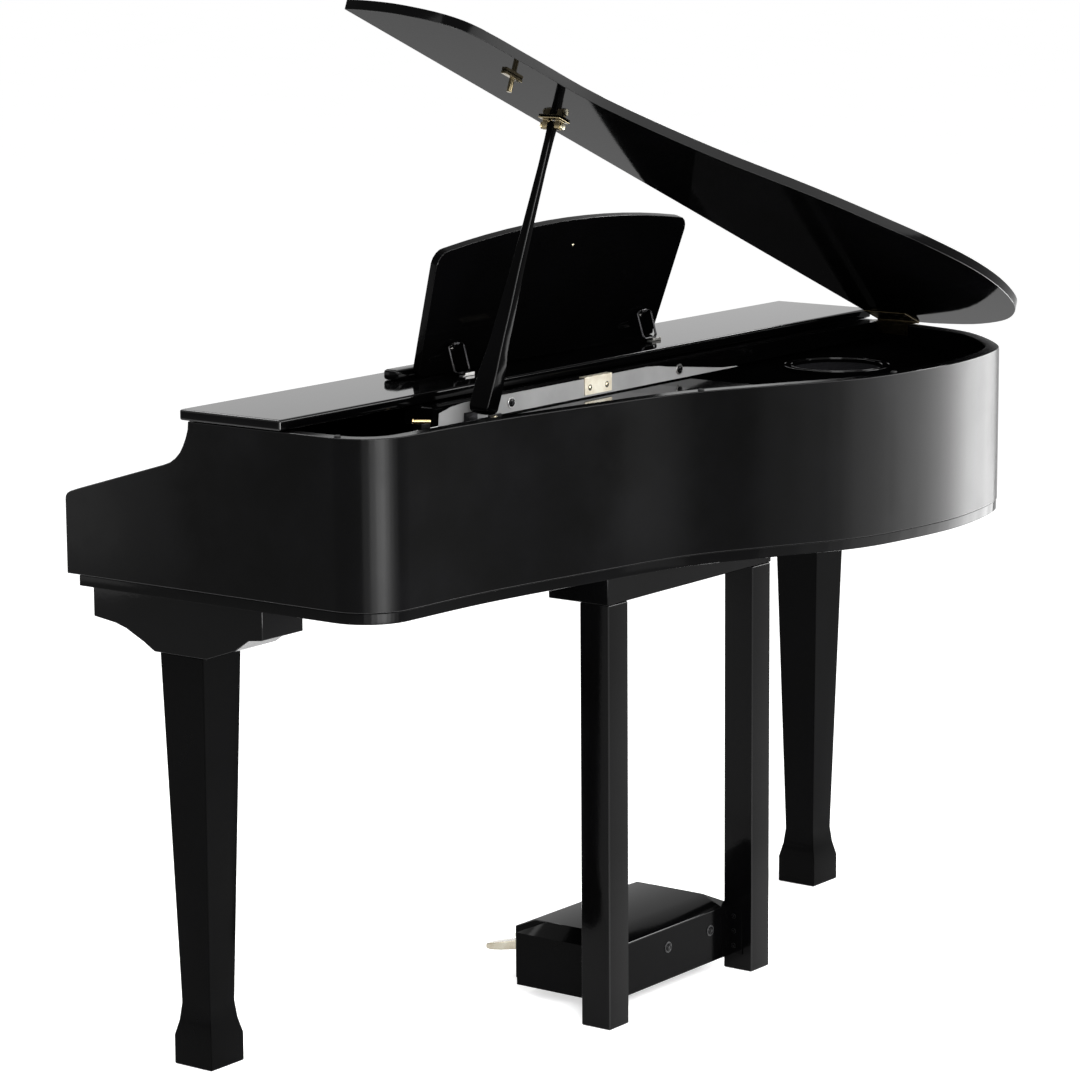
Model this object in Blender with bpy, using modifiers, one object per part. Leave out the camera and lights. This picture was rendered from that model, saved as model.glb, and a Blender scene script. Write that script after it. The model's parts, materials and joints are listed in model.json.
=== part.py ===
"""Digital grand piano, built from its separate pieces at real size.

Metres. +X is the player's right (treble), -Y the keyboard side, +Y the tail, +Z up.
The floor is z = 0 and x = 0 is the middle of the case. Depths below are measured from the
front of the arms; at the end the whole piano moves forward by ORIGIN_Y, half its depth.
"""
import math

import bmesh
import bpy
from mathutils import Matrix, Vector

# General
GAP = 0.0003
OBJECT_NAME = "digital_grand_piano"
ORIGIN_Y = 0.37875

# Case
CASE_HALF = 0.700
WALL = 0.020
RIM_BOTTOM = 0.665
RIM_TOP = 0.890
SIDE_LENGTH = 0.465
CORNER_RADIUS = 0.070
TAIL_STATIONS = [
    (0.630, 0.535), (0.480, 0.5445), (0.300, 0.574), (0.124, 0.610), (0.000, 0.667), (-0.120, 0.727),
    (-0.222, 0.749), (-0.350, 0.7571), (-0.482, 0.736), (-0.555, 0.698), (-0.643, 0.601),
    (-0.678, 0.504), (-0.700, 0.386)]
TAIL_STEPS = 5
BOARD_TOP = RIM_BOTTOM - GAP
BOARD_BOTTOM = 0.650
BOARD_INSET = 0.001
BOARD_FRONT = 0.021

# Arms: their side profile from the front corner to the cove under the flap
ARM_PROFILE = [
    (0.000, 0.766), (0.0005, 0.770), (0.003, 0.7745), (0.009, 0.778), (0.024, 0.783), (0.178, 0.829),
    (0.190, 0.8335), (0.199, 0.8395), (0.207, 0.8475), (0.2125, 0.8565), (0.2175, 0.867), (0.2215, 0.879),
    (0.2225, 0.891)]
CHEEK_INNER = 0.614
CHEEK_FRONT_END = 0.2125
CHEEK_REAR_END = 0.345
CHEEK_REAR_TOP = 0.8175

# Front top panel, the rail under its front and the cross board under its rear
FLAP_HALF = 0.705
FLAP_Y = (0.2126, 0.3845)
FLAP_Z = (0.8912, 0.906)
RAIL_Y = (0.2155, 0.2275)
RAIL_Z = (0.8185, 0.8905)
CROSS_X = (-0.6720, 0.430)
CROSS_Y = (0.366, 0.4145)
CROSS_Z = (0.866, 0.8905)

# Inside of the case
SOUNDBOARD_Z = (0.852, 0.862)
BAY_EDGE = 0.430
PROP_NOTCH = (0.368, 0.470)
BAY_FLOOR_Z = (0.800, 0.808)
SPEAKER = (-0.371, 0.536)
SPEAKER_HOLE = 0.069
SPEAKER_RING = (0.0665, 0.0785)

# Keyboard
KEY_WIDTH = 1.222 / 52
KEYS_LEFT = -0.611
KEY_FRONT = 0.036
KEY_HEAD = 0.050
KEY_REAR = 0.290
KEY_BOTTOM = 0.7165
KEY_TOP = 0.735
BLACK_TOP = 0.747
BLACK_END = 0.182
BLACK_WIDTH = 0.010
KEY_GAP = 0.001
KEY_PIVOT = (0.285, 0.7165)
OCTAVE_FIRST = 23
OCTAVE_LAST = 29
WHITE_COUNT = 52

# Key cover: closed position, then slid back by its travel at rest
COVER_SLOPE = math.radians(12.0)
COVER_HALF = 0.6125
COVER_START = (0.0205, 0.7597)
COVER_END_Y = 0.190
COVER_THICK = 0.010
COVER_LIP = (0.012, 0.7385)
COVER_LIP_HALF = 0.6015
COVER_TRAVEL = 0.150

# Control panel
PANEL_Y = (0.190, 0.204)
PANEL_Z = (0.7485, 0.792)
BUTTON_Z = 0.759
BUTTON_TRAVEL = 0.0015
POWER_X = 0.585
KNOB_X = 0.545
MODE_BUTTONS_X = (-0.50, -0.47, -0.44)

# Lid: outline with the lid shut, and the angle at which it stands open
LID_AXIS = (-0.695, 0.8915)
LID_ANGLE = math.radians(22.45)
LID_Z = (0.8925, 0.906)
LID_FRONT = 0.402
LID_STATIONS = [
    (0.690, 0.402), (0.688, 0.435), (0.676, 0.480), (0.643, 0.527), (0.594, 0.548), (0.475, 0.554),
    (0.323, 0.562), (0.130, 0.610), (-0.039, 0.676), (-0.170, 0.716), (-0.256, 0.739), (-0.354, 0.754),
    (-0.448, 0.750), (-0.540, 0.727), (-0.600, 0.696), (-0.648, 0.651), (-0.685, 0.580), (-0.700, 0.500)]

HINGE_Y = (0.398, 0.478)
HINGE_Z = (0.8735, 0.8909)
HINGE_LEAF = 0.0015
HINGE_EDGE = -0.6937

# Lid prop: head pivot measured along the lid from its axis, and below its underside
PROP_Y = 0.440
PROP_S = 0.958
PROP_DROP = 0.0100
PROP_LEAN = math.radians(23.6)
PROP_LENGTH = 0.4056

# Music desk
DESK_FOOT = (0.300, 0.9075)
DESK_CENTRE = 0.041
DESK_HALF = 0.276
DESK_FLARE = 0.016
DESK_HEIGHT = 0.206
DESK_THICK = 0.0115
DESK_LEAN = math.radians(17.0)
LEDGE_X = (-0.260, 0.345)
LEDGE_Y = (0.262, 0.2872)
LEDGE_Z = (0.9063, 0.921)
STAY_CENTRES = {"treble": 0.255, "bass": -0.190}
STAY_HEAD = (0.3175, 0.950)
STAY_FOOT = (0.3290, 0.9112)
STAY_HALF = 0.0165
STAY_WIRE = 0.002

# Legs: height and half width of the square section
LEG_SECTIONS = [
    (0.000, 0.0335), (0.040, 0.0335), (0.061, 0.0285), (0.085, 0.0257), (0.107, 0.0262),
    (0.282, 0.0308), (0.420, 0.0344), (0.557, 0.0380), (0.5697, 0.0383)]
TREBLE_LEG = (0.638, 0.181)
BASS_LEG = (-0.624, 0.326)
BRACKET_HALF = 0.041
BRACKET_PROFILE = [
    (-0.154, 0.6497), (-0.154, 0.606), (-0.115, 0.601), (-0.097, 0.596), (-0.065, 0.581), (-0.046, 0.570),
    (0.046, 0.570), (0.098, 0.588), (0.121, 0.604), (0.145, 0.607), (0.145, 0.6497)]

# Lyre
LYRE_BLOCK_X = (-0.190, 0.211)
LYRE_BLOCK_Y = (0.441, 0.5421)
LYRE_BLOCK_Z = (0.602, 0.6497)
POST_SIZE = (0.0459, 0.0492)
POST_X = {"treble": 0.18645, "bass": -0.16565}
POST_Y = 0.5175
PEDAL_BOX_X = (-0.117, 0.136)
PEDAL_BOX_PROFILE = [
    (0.322, 0.0215), (0.507, 0.0215), (0.507, 0.0985), (0.472, 0.1135), (0.357, 0.1135), (0.322, 0.0985)]
PEDAL_SPACING = 0.070
PEDAL_PIVOT = (0.440, 0.078)
PEDAL_SLOT = (0.040, 0.082)
PEDAL_SLOT_END = 0.452
PEDAL_SLOT_HALF = 0.0165
PEDAL_STATIONS = [
    (0.2293, 0.0400, 0.0440, 0.0050), (0.2330, 0.0385, 0.0462, 0.0095), (0.2420, 0.0385, 0.0490, 0.0120),
    (0.2620, 0.0415, 0.0540, 0.0125), (0.2900, 0.0470, 0.0610, 0.0110), (0.3300, 0.0555, 0.0690, 0.0085),
    (0.4450, 0.0740, 0.0815, 0.0080)]

# Circuit board and power supply on the bottom board
MAIN_BOARD = ((-0.200, 0.430, 0.675), (0.150, 0.560, 0.677))
SUPPLY = ((0.340, 0.420, BOARD_TOP + GAP), (0.500, 0.510, 0.705))
INLET = (0.400, 0.465)


def clear_scene():
    for obj in list(bpy.data.objects):
        bpy.data.objects.remove(obj, do_unlink=True)


def new_collection(name):
    made = bpy.data.collections.new(name)
    bpy.context.scene.collection.children.link(made)
    return made


clear_scene()
PARTS = new_collection(OBJECT_NAME)
CUTTERS = new_collection("cutters")


def make_material(name, colour, roughness, metallic=0.0):
    material = bpy.data.materials.new(name)
    material.use_nodes = True
    shader = material.node_tree.nodes["Principled BSDF"]
    shader.inputs["Base Color"].default_value = (*colour, 1.0)
    shader.inputs["Roughness"].default_value = roughness
    shader.inputs["Metallic"].default_value = metallic
    material.diffuse_color = (*colour, 1.0)
    return material


LACQUER = make_material("black_lacquer", (0.006, 0.006, 0.007), 0.06)
SATIN = make_material("black_satin", (0.010, 0.010, 0.011), 0.35)
BRASS = make_material("brass", (0.72, 0.53, 0.24), 0.22, 1.0)
STEEL = make_material("steel", (0.50, 0.50, 0.50), 0.35, 1.0)
WIRE = make_material("black_wire", (0.02, 0.02, 0.02), 0.30, 0.4)
IVORY = make_material("white_key", (0.86, 0.85, 0.81), 0.25)
EBONY = make_material("black_key", (0.012, 0.012, 0.013), 0.35)
WOOD = make_material("key_frame_wood", (0.42, 0.29, 0.17), 0.60)
CONE = make_material("speaker_cone", (0.015, 0.015, 0.016), 0.80)
CIRCUIT = make_material("circuit_green", (0.02, 0.12, 0.05), 0.50)

# Placement of a flat outline: drawn in plan, in side view (y, z) or in front view (x, z)
PLAN = Matrix.Identity(4)
SIDE = Matrix(((0, 0, 1, 0), (1, 0, 0, 0), (0, 1, 0, 0), (0, 0, 0, 1)))
FRONT = Matrix(((1, 0, 0, 0), (0, 0, -1, 0), (0, 1, 0, 0), (0, 0, 0, 1)))


def add_object(name, mesh, material, collection=None):
    obj = bpy.data.objects.new(name, mesh)
    (collection or PARTS).objects.link(obj)
    if material:
        mesh.materials.clear()
        mesh.materials.append(material)
    return obj


def as_cutter(obj):
    PARTS.objects.unlink(obj)
    CUTTERS.objects.link(obj)
    obj.hide_render = True
    obj.display_type = "WIRE"
    return obj


def smooth_shade(obj, degrees=35.0):
    obj.data.shade_smooth()
    obj.data.set_sharp_from_angle(angle=math.radians(degrees))
    return obj


def add_bevel(obj, width, segments=2, degrees=35.0):
    bevel = obj.modifiers.new("edges", "BEVEL")
    bevel.width = width
    bevel.segments = segments
    bevel.limit_method = "ANGLE"
    bevel.angle_limit = math.radians(degrees)
    return obj


def cut(obj, cutter, operation="DIFFERENCE"):
    boolean = obj.modifiers.new(operation.lower(), "BOOLEAN")
    boolean.operation = operation
    boolean.solver = "EXACT"
    boolean.object = as_cutter(cutter)
    return obj


def box(name, low, high, material, bevel=0.0, segments=1):
    """A block between two corners, its origin at its middle."""
    size = Vector(high) - Vector(low)
    mesh = bpy.data.meshes.new(name)
    shape = bmesh.new()
    bmesh.ops.create_cube(shape, size=1.0)
    bmesh.ops.scale(shape, vec=size, verts=shape.verts)
    shape.to_mesh(mesh)
    shape.free()
    obj = add_object(name, mesh, material)
    obj.location = (Vector(high) + Vector(low)) / 2
    if bevel:
        add_bevel(obj, bevel, segments)
    return obj


def prism(name, outline, start, end, material, placement=PLAN, holes=(), bevel=0.0, segments=1):
    """A flat outline, drawn as a filled 2D curve, extruded from start to end along its normal."""
    curve = bpy.data.curves.new(name, "CURVE")
    curve.dimensions = "2D"
    curve.fill_mode = "BOTH"
    curve.extrude = (end - start) / 2
    for points in (outline, *holes):
        spline = curve.splines.new("POLY")
        spline.points.add(len(points) - 1)
        for point, place in zip(spline.points, points):
            point.co = (place[0], place[1], 0.0, 1.0)
        spline.use_cyclic_u = True
    drawn = bpy.data.objects.new(name + "_outline", curve)
    bpy.context.scene.collection.objects.link(drawn)
    mesh = bpy.data.meshes.new_from_object(drawn.evaluated_get(bpy.context.evaluated_depsgraph_get()))
    bpy.data.objects.remove(drawn)
    shape = bmesh.new()
    shape.from_mesh(mesh)
    bmesh.ops.remove_doubles(shape, verts=shape.verts, dist=0.00001)
    bmesh.ops.recalc_face_normals(shape, faces=shape.faces)
    shape.to_mesh(mesh)
    shape.free()
    mesh.name = name
    obj = add_object(name, mesh, material)
    obj.matrix_world = placement @ Matrix.Translation((0, 0, (start + end) / 2))
    if bevel:
        add_bevel(obj, bevel, segments)
    return obj


def cylinder(name, centre, radius, length, axis, material, sides=16):
    """A round bar of the given length about its centre."""
    mesh = bpy.data.meshes.new(name)
    shape = bmesh.new()
    bmesh.ops.create_cone(shape, cap_ends=True, segments=sides, radius1=radius, radius2=radius, depth=length)
    turn = {"X": Matrix.Rotation(math.pi / 2, 3, "Y"), "Y": Matrix.Rotation(math.pi / 2, 3, "X"),
            "Z": Matrix.Identity(3)}[axis]
    bmesh.ops.rotate(shape, matrix=turn, verts=shape.verts)
    shape.to_mesh(mesh)
    shape.free()
    obj = add_object(name, mesh, material)
    obj.location = centre
    return smooth_shade(obj)


def turned(name, profile, centre, material, steps=32, closed=False):
    """A profile in (radius, height) swept round a vertical axis by a Screw modifier."""
    mesh = bpy.data.meshes.new(name)
    edges = [(i, i + 1) for i in range(len(profile) - 1)]
    if closed:
        edges.append((len(profile) - 1, 0))
    mesh.from_pydata([(radius, 0.0, height) for radius, height in profile], edges, [])
    obj = add_object(name, mesh, material)
    obj.location = centre
    screw = obj.modifiers.new("turn", "SCREW")
    screw.steps = steps
    screw.render_steps = steps
    screw.use_merge_vertices = True
    screw.merge_threshold = 0.0001
    screw.use_smooth_shade = True
    return obj


def loft(name, sections, material):
    """A closed skin over four-cornered sections, each a list of four points."""
    mesh = bpy.data.meshes.new(name)
    shape = bmesh.new()
    rings = [[shape.verts.new(point) for point in section] for section in sections]
    shape.faces.new(rings[0])
    shape.faces.new(rings[-1])
    for lower, upper in zip(rings, rings[1:]):
        for i in range(4):
            shape.faces.new((lower[i], lower[(i + 1) % 4], upper[(i + 1) % 4], upper[i]))
    bmesh.ops.recalc_face_normals(shape, faces=shape.faces)
    shape.to_mesh(mesh)
    shape.free()
    return add_object(name, mesh, material)


def smooth_path(stations, steps):
    """Points on a smooth curve through the stations."""
    points = []
    for i in range(len(stations) - 1):
        before = Vector(stations[max(i - 1, 0)])
        first = Vector(stations[i])
        second = Vector(stations[i + 1])
        after = Vector(stations[min(i + 2, len(stations) - 1)])
        for k in range(steps):
            t = k / steps
            bend = (2 * before - 5 * first + 4 * second - after) * t * t
            twist = (3 * first - before - 3 * second + after) * t * t * t
            points.append(tuple(0.5 * (2 * first + (second - before) * t + bend + twist)))
    points.append(tuple(stations[-1]))
    return points


def case_outline(inset, front):
    """The rim's plan from the treble arm round the tail to the bass arm, drawn in by inset."""
    corner = (CASE_HALF - CORNER_RADIUS, SIDE_LENGTH)
    arc = []
    for k in range(10):
        angle = math.radians(9 * k)
        arc.append((corner[0] + CORNER_RADIUS * math.cos(angle), corner[1] + CORNER_RADIUS * math.sin(angle)))
    path = [(CASE_HALF, front), *arc, *smooth_path(TAIL_STATIONS, TAIL_STEPS), (-CASE_HALF, front)]
    drawn = []
    for i, point in enumerate(path):
        ahead = Vector(path[min(i + 1, len(path) - 1)])
        behind = Vector(path[max(i - 1, 0)])
        along = (ahead - behind).normalized()
        if i in (0, len(path) - 1):
            along = Vector((0.0, 1.0 if i == 0 else -1.0))
        drawn.append((point[0] - along.y * inset, point[1] + along.x * inset))
    return drawn


def build_case():
    outer = case_outline(0.0, 0.0)
    inner = case_outline(WALL, 0.0)
    rim = prism("rim", outer + inner[::-1], RIM_BOTTOM, RIM_TOP, LACQUER)
    smooth_shade(rim, 20)
    arm_space = [(-0.020, ARM_PROFILE[0][1]), *ARM_PROFILE, (ARM_PROFILE[-1][0], 0.950), (-0.020, 0.950)]
    cut(rim, prism("arm_cutter", arm_space, -0.750, 0.750, None, SIDE))

    board_outline = case_outline(BOARD_INSET, BOARD_FRONT)
    x, y = INLET
    inlet_hole = [(x - 0.026, y - 0.015), (x + 0.026, y - 0.015), (x + 0.026, y + 0.015), (x - 0.026, y + 0.015)]
    prism("bottom_board", board_outline, BOARD_BOTTOM, BOARD_TOP, SATIN, holes=[inlet_hole])

    for side, sign in (("treble", 1), ("bass", -1)):
        add_cheek_block(side, sign)
    box("key_slip", (-CHEEK_INNER + GAP, 0.004, RIM_BOTTOM + GAP), (CHEEK_INNER - GAP, 0.024, 0.715), LACQUER,
        0.002)
    box("front_flap", (-FLAP_HALF, FLAP_Y[0], FLAP_Z[0]), (FLAP_HALF, FLAP_Y[1], FLAP_Z[1]), LACQUER, 0.003, 2)
    box("front_rail", (-0.6794, RAIL_Y[0], RAIL_Z[0]), (0.6794, RAIL_Y[1], RAIL_Z[1]), LACQUER, 0.001)
    box("cross_board", (CROSS_X[0], CROSS_Y[0], CROSS_Z[0]), (CROSS_X[1], CROSS_Y[1], CROSS_Z[1]), LACQUER, 0.001)


def cover_bottom(y):
    """Height of the key cover's underside at y, the same with the cover open or shut."""
    return COVER_START[1] + (y - COVER_START[0]) * math.tan(COVER_SLOPE)


def add_cheek_block(side, sign):
    """The block between keys and rim, with the sloped runner that carries the key cover."""
    shoulder = [point for point in ARM_PROFILE if point[0] < CHEEK_FRONT_END - 0.002]
    outline = [(0.0, RIM_BOTTOM + GAP), *shoulder, (CHEEK_FRONT_END, 0.856), (CHEEK_FRONT_END, CHEEK_REAR_TOP),
               (CHEEK_REAR_END, CHEEK_REAR_TOP), (CHEEK_REAR_END, RIM_BOTTOM + GAP)]
    reach = sorted((sign * CHEEK_INNER, sign * (CASE_HALF - WALL - GAP)))
    block = prism(f"cheek_block_{side}", outline, reach[0], reach[1], LACQUER, SIDE)
    drop = 0.010
    runner = [(0.034, cover_bottom(0.034) - drop), (CHEEK_REAR_END - 0.002, cover_bottom(CHEEK_REAR_END) - drop),
              (CHEEK_REAR_END - 0.002, cover_bottom(CHEEK_REAR_END - 0.002) - 0.0006),
              (0.034, cover_bottom(0.034) - 0.0006)]
    ledge = sorted((sign * (CHEEK_INNER - 0.011), sign * (CHEEK_INNER + 0.004)))
    cut(block, prism(f"runner_{side}", runner, ledge[0], ledge[1], None, SIDE), "UNION")


def crossing(line, axis, value):
    """The first point where a line of plan points crosses the value on that axis (0 for x, 1 for y)."""
    for first, second in zip(line, line[1:]):
        low, high = sorted((first[axis], second[axis]))
        if low <= value <= high and low < high:
            share = (value - first[axis]) / (second[axis] - first[axis])
            return tuple(a + (b - a) * share for a, b in zip(first, second))
    raise ValueError("the line does not reach that value")


def build_inside():
    inner = case_outline(WALL + GAP, 0.0)
    tail = [point for point in inner if point[0] < BAY_EDGE and point[1] > 0.3856]
    outline = [(PROP_NOTCH[0], 0.3855), (PROP_NOTCH[0], PROP_NOTCH[1]), (BAY_EDGE, PROP_NOTCH[1]),
               crossing(inner, 0, BAY_EDGE), *tail, (-CASE_HALF + WALL + GAP, 0.3855)]
    hole = []
    for k in range(32):
        angle = 2 * math.pi * k / 32
        hole.append((SPEAKER[0] + SPEAKER_HOLE * math.cos(angle), SPEAKER[1] + SPEAKER_HOLE * math.sin(angle)))
    prism("soundboard", outline, SOUNDBOARD_Z[0], SOUNDBOARD_Z[1], LACQUER, holes=[hole])

    bay = [point for point in inner if point[0] > PROP_NOTCH[0] + 0.004 and point[1] > 0.372]
    bay_outline = [(CASE_HALF - WALL - GAP, 0.372), *bay, (PROP_NOTCH[0] + 0.0015, bay[-1][1]),
                   (PROP_NOTCH[0] + 0.0015, 0.372)]
    prism("bay_floor", bay_outline, BAY_FLOOR_Z[0], BAY_FLOOR_Z[1], SATIN)

    top = SOUNDBOARD_Z[1] + GAP
    inner, outer = SPEAKER_RING
    ring = [(outer, top + 0.0030), (outer, top), (inner, top), (inner, top + 0.0042), (outer - 0.004, top + 0.0042)]
    turned("speaker_ring", ring, (SPEAKER[0], SPEAKER[1], 0), SATIN, 40, closed=True)
    driver = [
        (0.0, 0.8465), (0.012, 0.8445), (0.018, 0.8400), (0.022, 0.8385), (0.054, 0.8550), (0.058, 0.8592),
        (0.062, 0.8575), (0.064, 0.8617), (0.0685, 0.8617), (0.0685, 0.8530), (0.045, 0.8220), (0.045, 0.8000),
        (0.0, 0.8000)]
    turned("speaker_driver", driver, (SPEAKER[0], SPEAKER[1], 0), CONE, 32)
    build_electronics()


def build_electronics():
    low, high = MAIN_BOARD
    board = box("main_board", low, high, CIRCUIT)
    posts = [(low[0] + 0.01, low[1] + 0.01), (high[0] - 0.01, low[1] + 0.01), (low[0] + 0.01, high[1] - 0.01),
             (high[0] - 0.01, high[1] - 0.01)]
    for i, (x, y) in enumerate(posts):
        height = low[2] + 0.001 - (BOARD_TOP + GAP)
        middle = (x, y, BOARD_TOP + GAP + height / 2)
        cut(board, cylinder(f"standoff_{i}", middle, 0.004, height, "Z", None, 8), "UNION")
    chips = [((-0.15, 0.47), (0.028, 0.028, 0.003)), ((-0.06, 0.50), (0.020, 0.020, 0.003)),
             ((0.06, 0.48), (0.050, 0.030, 0.022)), ((0.10, 0.53), (0.030, 0.020, 0.012))]
    for i, ((x, y), (wide, deep, tall)) in enumerate(chips):
        start = (x - wide / 2, y - deep / 2, high[2] - 0.0005)
        end = (x + wide / 2, y + deep / 2, high[2] + tall)
        cut(board, box(f"chip_{i}", start, end, None), "UNION")

    low, high = SUPPLY
    supply = box("power_supply", low, high, STEEL, 0.0015)
    x, y = INLET
    cut(supply, box("inlet_recess", (x - 0.024, y - 0.012, low[2] - 0.01), (x + 0.024, y + 0.012, low[2] + 0.018),
                    None))
    for i, offset in enumerate((-0.014, 0.0, 0.014)):
        pin = box(f"inlet_pin_{i}", (x + offset - 0.0015, y - 0.003, low[2] + 0.004),
                  (x + offset + 0.0015, y + 0.003, low[2] + 0.020), None)
        cut(supply, pin, "UNION")


def has_black_after(white):
    """Whether a black key stands to the right of this white key, counted from the lowest A."""
    return "CDEFGAB"[(white + 5) % 7] in "CDFGA" and white < WHITE_COUNT - 1


def white_left(white):
    return KEYS_LEFT + white * KEY_WIDTH


def build_keyboard():
    frame = [(0.040, RIM_BOTTOM + GAP), (0.300, RIM_BOTTOM + GAP), (0.300, 0.7145), (0.262, 0.7145), (0.262, 0.675),
             (0.075, 0.675), (0.075, 0.7025), (0.040, 0.7025)]
    prism("key_frame", frame, -0.6125, 0.6125, WOOD, SIDE)
    add_fixed_keys("keys_low", 0, OCTAVE_FIRST - 1)
    add_fixed_keys("keys_high", OCTAVE_LAST + 1, WHITE_COUNT - 1)
    for number, white in enumerate(range(OCTAVE_FIRST, OCTAVE_LAST + 1)):
        letter = "cdefgab"[number]
        add_white_key(f"key_{letter}", white)
        if has_black_after(white) and white < OCTAVE_LAST:
            add_black_key(f"key_{letter}_sharp", white_left(white + 1))


def add_fixed_keys(name, first, last):
    """A run of keys as one body: a grooved slab with the black keys standing on it."""
    groove = 0.008
    outline = [(white_left(first) + KEY_GAP / 2, KEY_BOTTOM)]
    outline.append((white_left(last + 1) - KEY_GAP / 2, KEY_BOTTOM))
    outline.append((white_left(last + 1) - KEY_GAP / 2, KEY_TOP))
    for white in range(last, first, -1):
        x = white_left(white)
        outline += [(x + KEY_GAP / 2, KEY_TOP), (x + KEY_GAP / 2, KEY_TOP - groove),
                    (x - KEY_GAP / 2, KEY_TOP - groove), (x - KEY_GAP / 2, KEY_TOP)]
    outline.append((white_left(first) + KEY_GAP / 2, KEY_TOP))
    slab = prism(name, outline, -KEY_REAR, -KEY_FRONT, IVORY, FRONT)
    blacks = bmesh.new()
    for white in range(first, last):
        if has_black_after(white):
            add_black_shape(blacks, white_left(white + 1))
    mesh = bpy.data.meshes.new(name + "_blacks")
    blacks.to_mesh(mesh)
    blacks.free()
    cut(slab, add_object(name + "_blacks", mesh, None), "UNION")


def add_black_shape(shape, x):
    """One black key top: a block narrowed towards its top and sloped at its front."""
    low = KEY_TOP - 0.004
    start = KEY_FRONT + KEY_HEAD
    made = bmesh.ops.create_cube(shape, size=1.0)["verts"]
    for vert in made:
        upper = vert.co.z > 0
        half = (BLACK_WIDTH - 0.0012) / 2 if upper else BLACK_WIDTH / 2
        front = start + (0.006 if upper else 0.0)
        vert.co.x = x + math.copysign(half, vert.co.x)
        vert.co.y = BLACK_END if vert.co.y > 0 else front
        vert.co.z = BLACK_TOP if upper else low


def add_white_key(name, white):
    """A white key with its wide head and the tail that passes between the black keys."""
    left = white_left(white) + KEY_GAP / 2
    right = white_left(white + 1) - KEY_GAP / 2
    neck = KEY_FRONT + KEY_HEAD - 0.001
    side = BLACK_WIDTH / 2 + KEY_GAP * 0.75
    tail_left = white_left(white) + side if has_black_after(white - 1) and white > OCTAVE_FIRST else left
    tail_right = white_left(white + 1) - side if has_black_after(white) and white < OCTAVE_LAST else right
    outline = [(left, KEY_FRONT), (right, KEY_FRONT), (right, neck), (tail_right, neck), (tail_right, KEY_REAR),
               (tail_left, KEY_REAR), (tail_left, neck), (left, neck)]
    outline = [point for i, point in enumerate(outline) if point != outline[i - 1]]
    hinge_at(prism(name, outline, KEY_BOTTOM, KEY_TOP, IVORY, bevel=0.0006), (0.0, *KEY_PIVOT))


def add_black_key(name, x):
    """A black key: its sloped front, its raised top and the low bar back to the pivot."""
    start = KEY_FRONT + KEY_HEAD
    outline = [(start, KEY_BOTTOM), (start, KEY_TOP), (start + 0.006, BLACK_TOP), (BLACK_END, BLACK_TOP),
               (BLACK_END, KEY_TOP), (KEY_REAR, KEY_TOP), (KEY_REAR, KEY_BOTTOM)]
    key = prism(name, outline, x - BLACK_WIDTH / 2, x + BLACK_WIDTH / 2, EBONY, SIDE, bevel=0.0007)
    hinge_at(key, (0.0, *KEY_PIVOT))


def hinge_at(obj, point):
    """Moves the object's origin to a point on its joint's axis, leaving its shape in place."""
    bpy.context.view_layer.update()
    shift = obj.matrix_world.inverted() @ Vector((obj.matrix_world.translation.x if point[0] == 0.0 else point[0],
                                                  point[1], point[2]))
    obj.data.transform(Matrix.Translation(-shift))
    obj.matrix_world = obj.matrix_world @ Matrix.Translation(shift)
    return obj


def build_cover_and_panel():
    slide_y = COVER_TRAVEL * math.cos(COVER_SLOPE)
    slide_z = COVER_TRAVEL * math.sin(COVER_SLOPE)
    lip, lip_bottom = COVER_LIP
    start = COVER_START[0]
    rise = COVER_THICK / math.cos(COVER_SLOPE)
    outline = [(start, cover_bottom(start)), (COVER_END_Y, cover_bottom(COVER_END_Y)),
               (COVER_END_Y, cover_bottom(COVER_END_Y) + rise), (start, cover_bottom(start) + rise)]
    cover = prism("key_cover", outline, -COVER_HALF, COVER_HALF, LACQUER, SIDE)
    lip_top = cover_bottom(start) + rise / 2
    front_lip = box("cover_lip", (-COVER_LIP_HALF, start, lip_bottom), (COVER_LIP_HALF, start + lip, lip_top), None)
    cut(cover, front_lip, "UNION")
    for piece in (cover, front_lip):
        piece.location += Vector((0.0, slide_y, slide_z))

    panel = box("control_panel", (-CHEEK_INNER + GAP + 0.011, PANEL_Y[0], PANEL_Z[0]),
                (CHEEK_INNER - GAP - 0.011, PANEL_Y[1], PANEL_Z[1]), SATIN, 0.0008)
    face = PANEL_Y[0]
    clearance = 0.0004
    for i, x in enumerate(MODE_BUTTONS_X):
        add_button(f"mode_button_{i + 1}", panel, x, 0.0060, face, clearance)
    add_button("power_button", panel, POWER_X, 0.0050, face, clearance)
    bore = cylinder("knob_bore", (KNOB_X, face + 0.004, 0.7605), 0.0034, 0.012, "Y", None, 16)
    cut(panel, bore)
    knob = cylinder("volume_knob", (KNOB_X, face - 0.0052, 0.7605), 0.0078, 0.0092, "Y", SATIN, 24)
    add_bevel(knob, 0.0008, 1)
    cut(knob, cylinder("knob_shaft", (KNOB_X, face + 0.0020, 0.7605), 0.0030, 0.008, "Y", None, 12), "UNION")
    pointer = box("knob_pointer", (KNOB_X - 0.0006, face - 0.012, 0.7640), (KNOB_X + 0.0006, face - 0.0092, 0.7700),
                  None)
    cut(knob, pointer)


def add_button(name, panel, x, half, face, clearance):
    """A push button in its pocket in the panel's face."""
    tall = 0.0035
    cut(panel, box(name + "_pocket", (x - half - clearance, face - 0.002, BUTTON_Z - tall - clearance),
                   (x + half + clearance, face + 0.0070, BUTTON_Z + tall + clearance), None))
    box(name, (x - half, face - 0.0025, BUTTON_Z - tall), (x + half, face + 0.0070 - BUTTON_TRAVEL - GAP,
                                                          BUTTON_Z + tall), SATIN, 0.0007)


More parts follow.
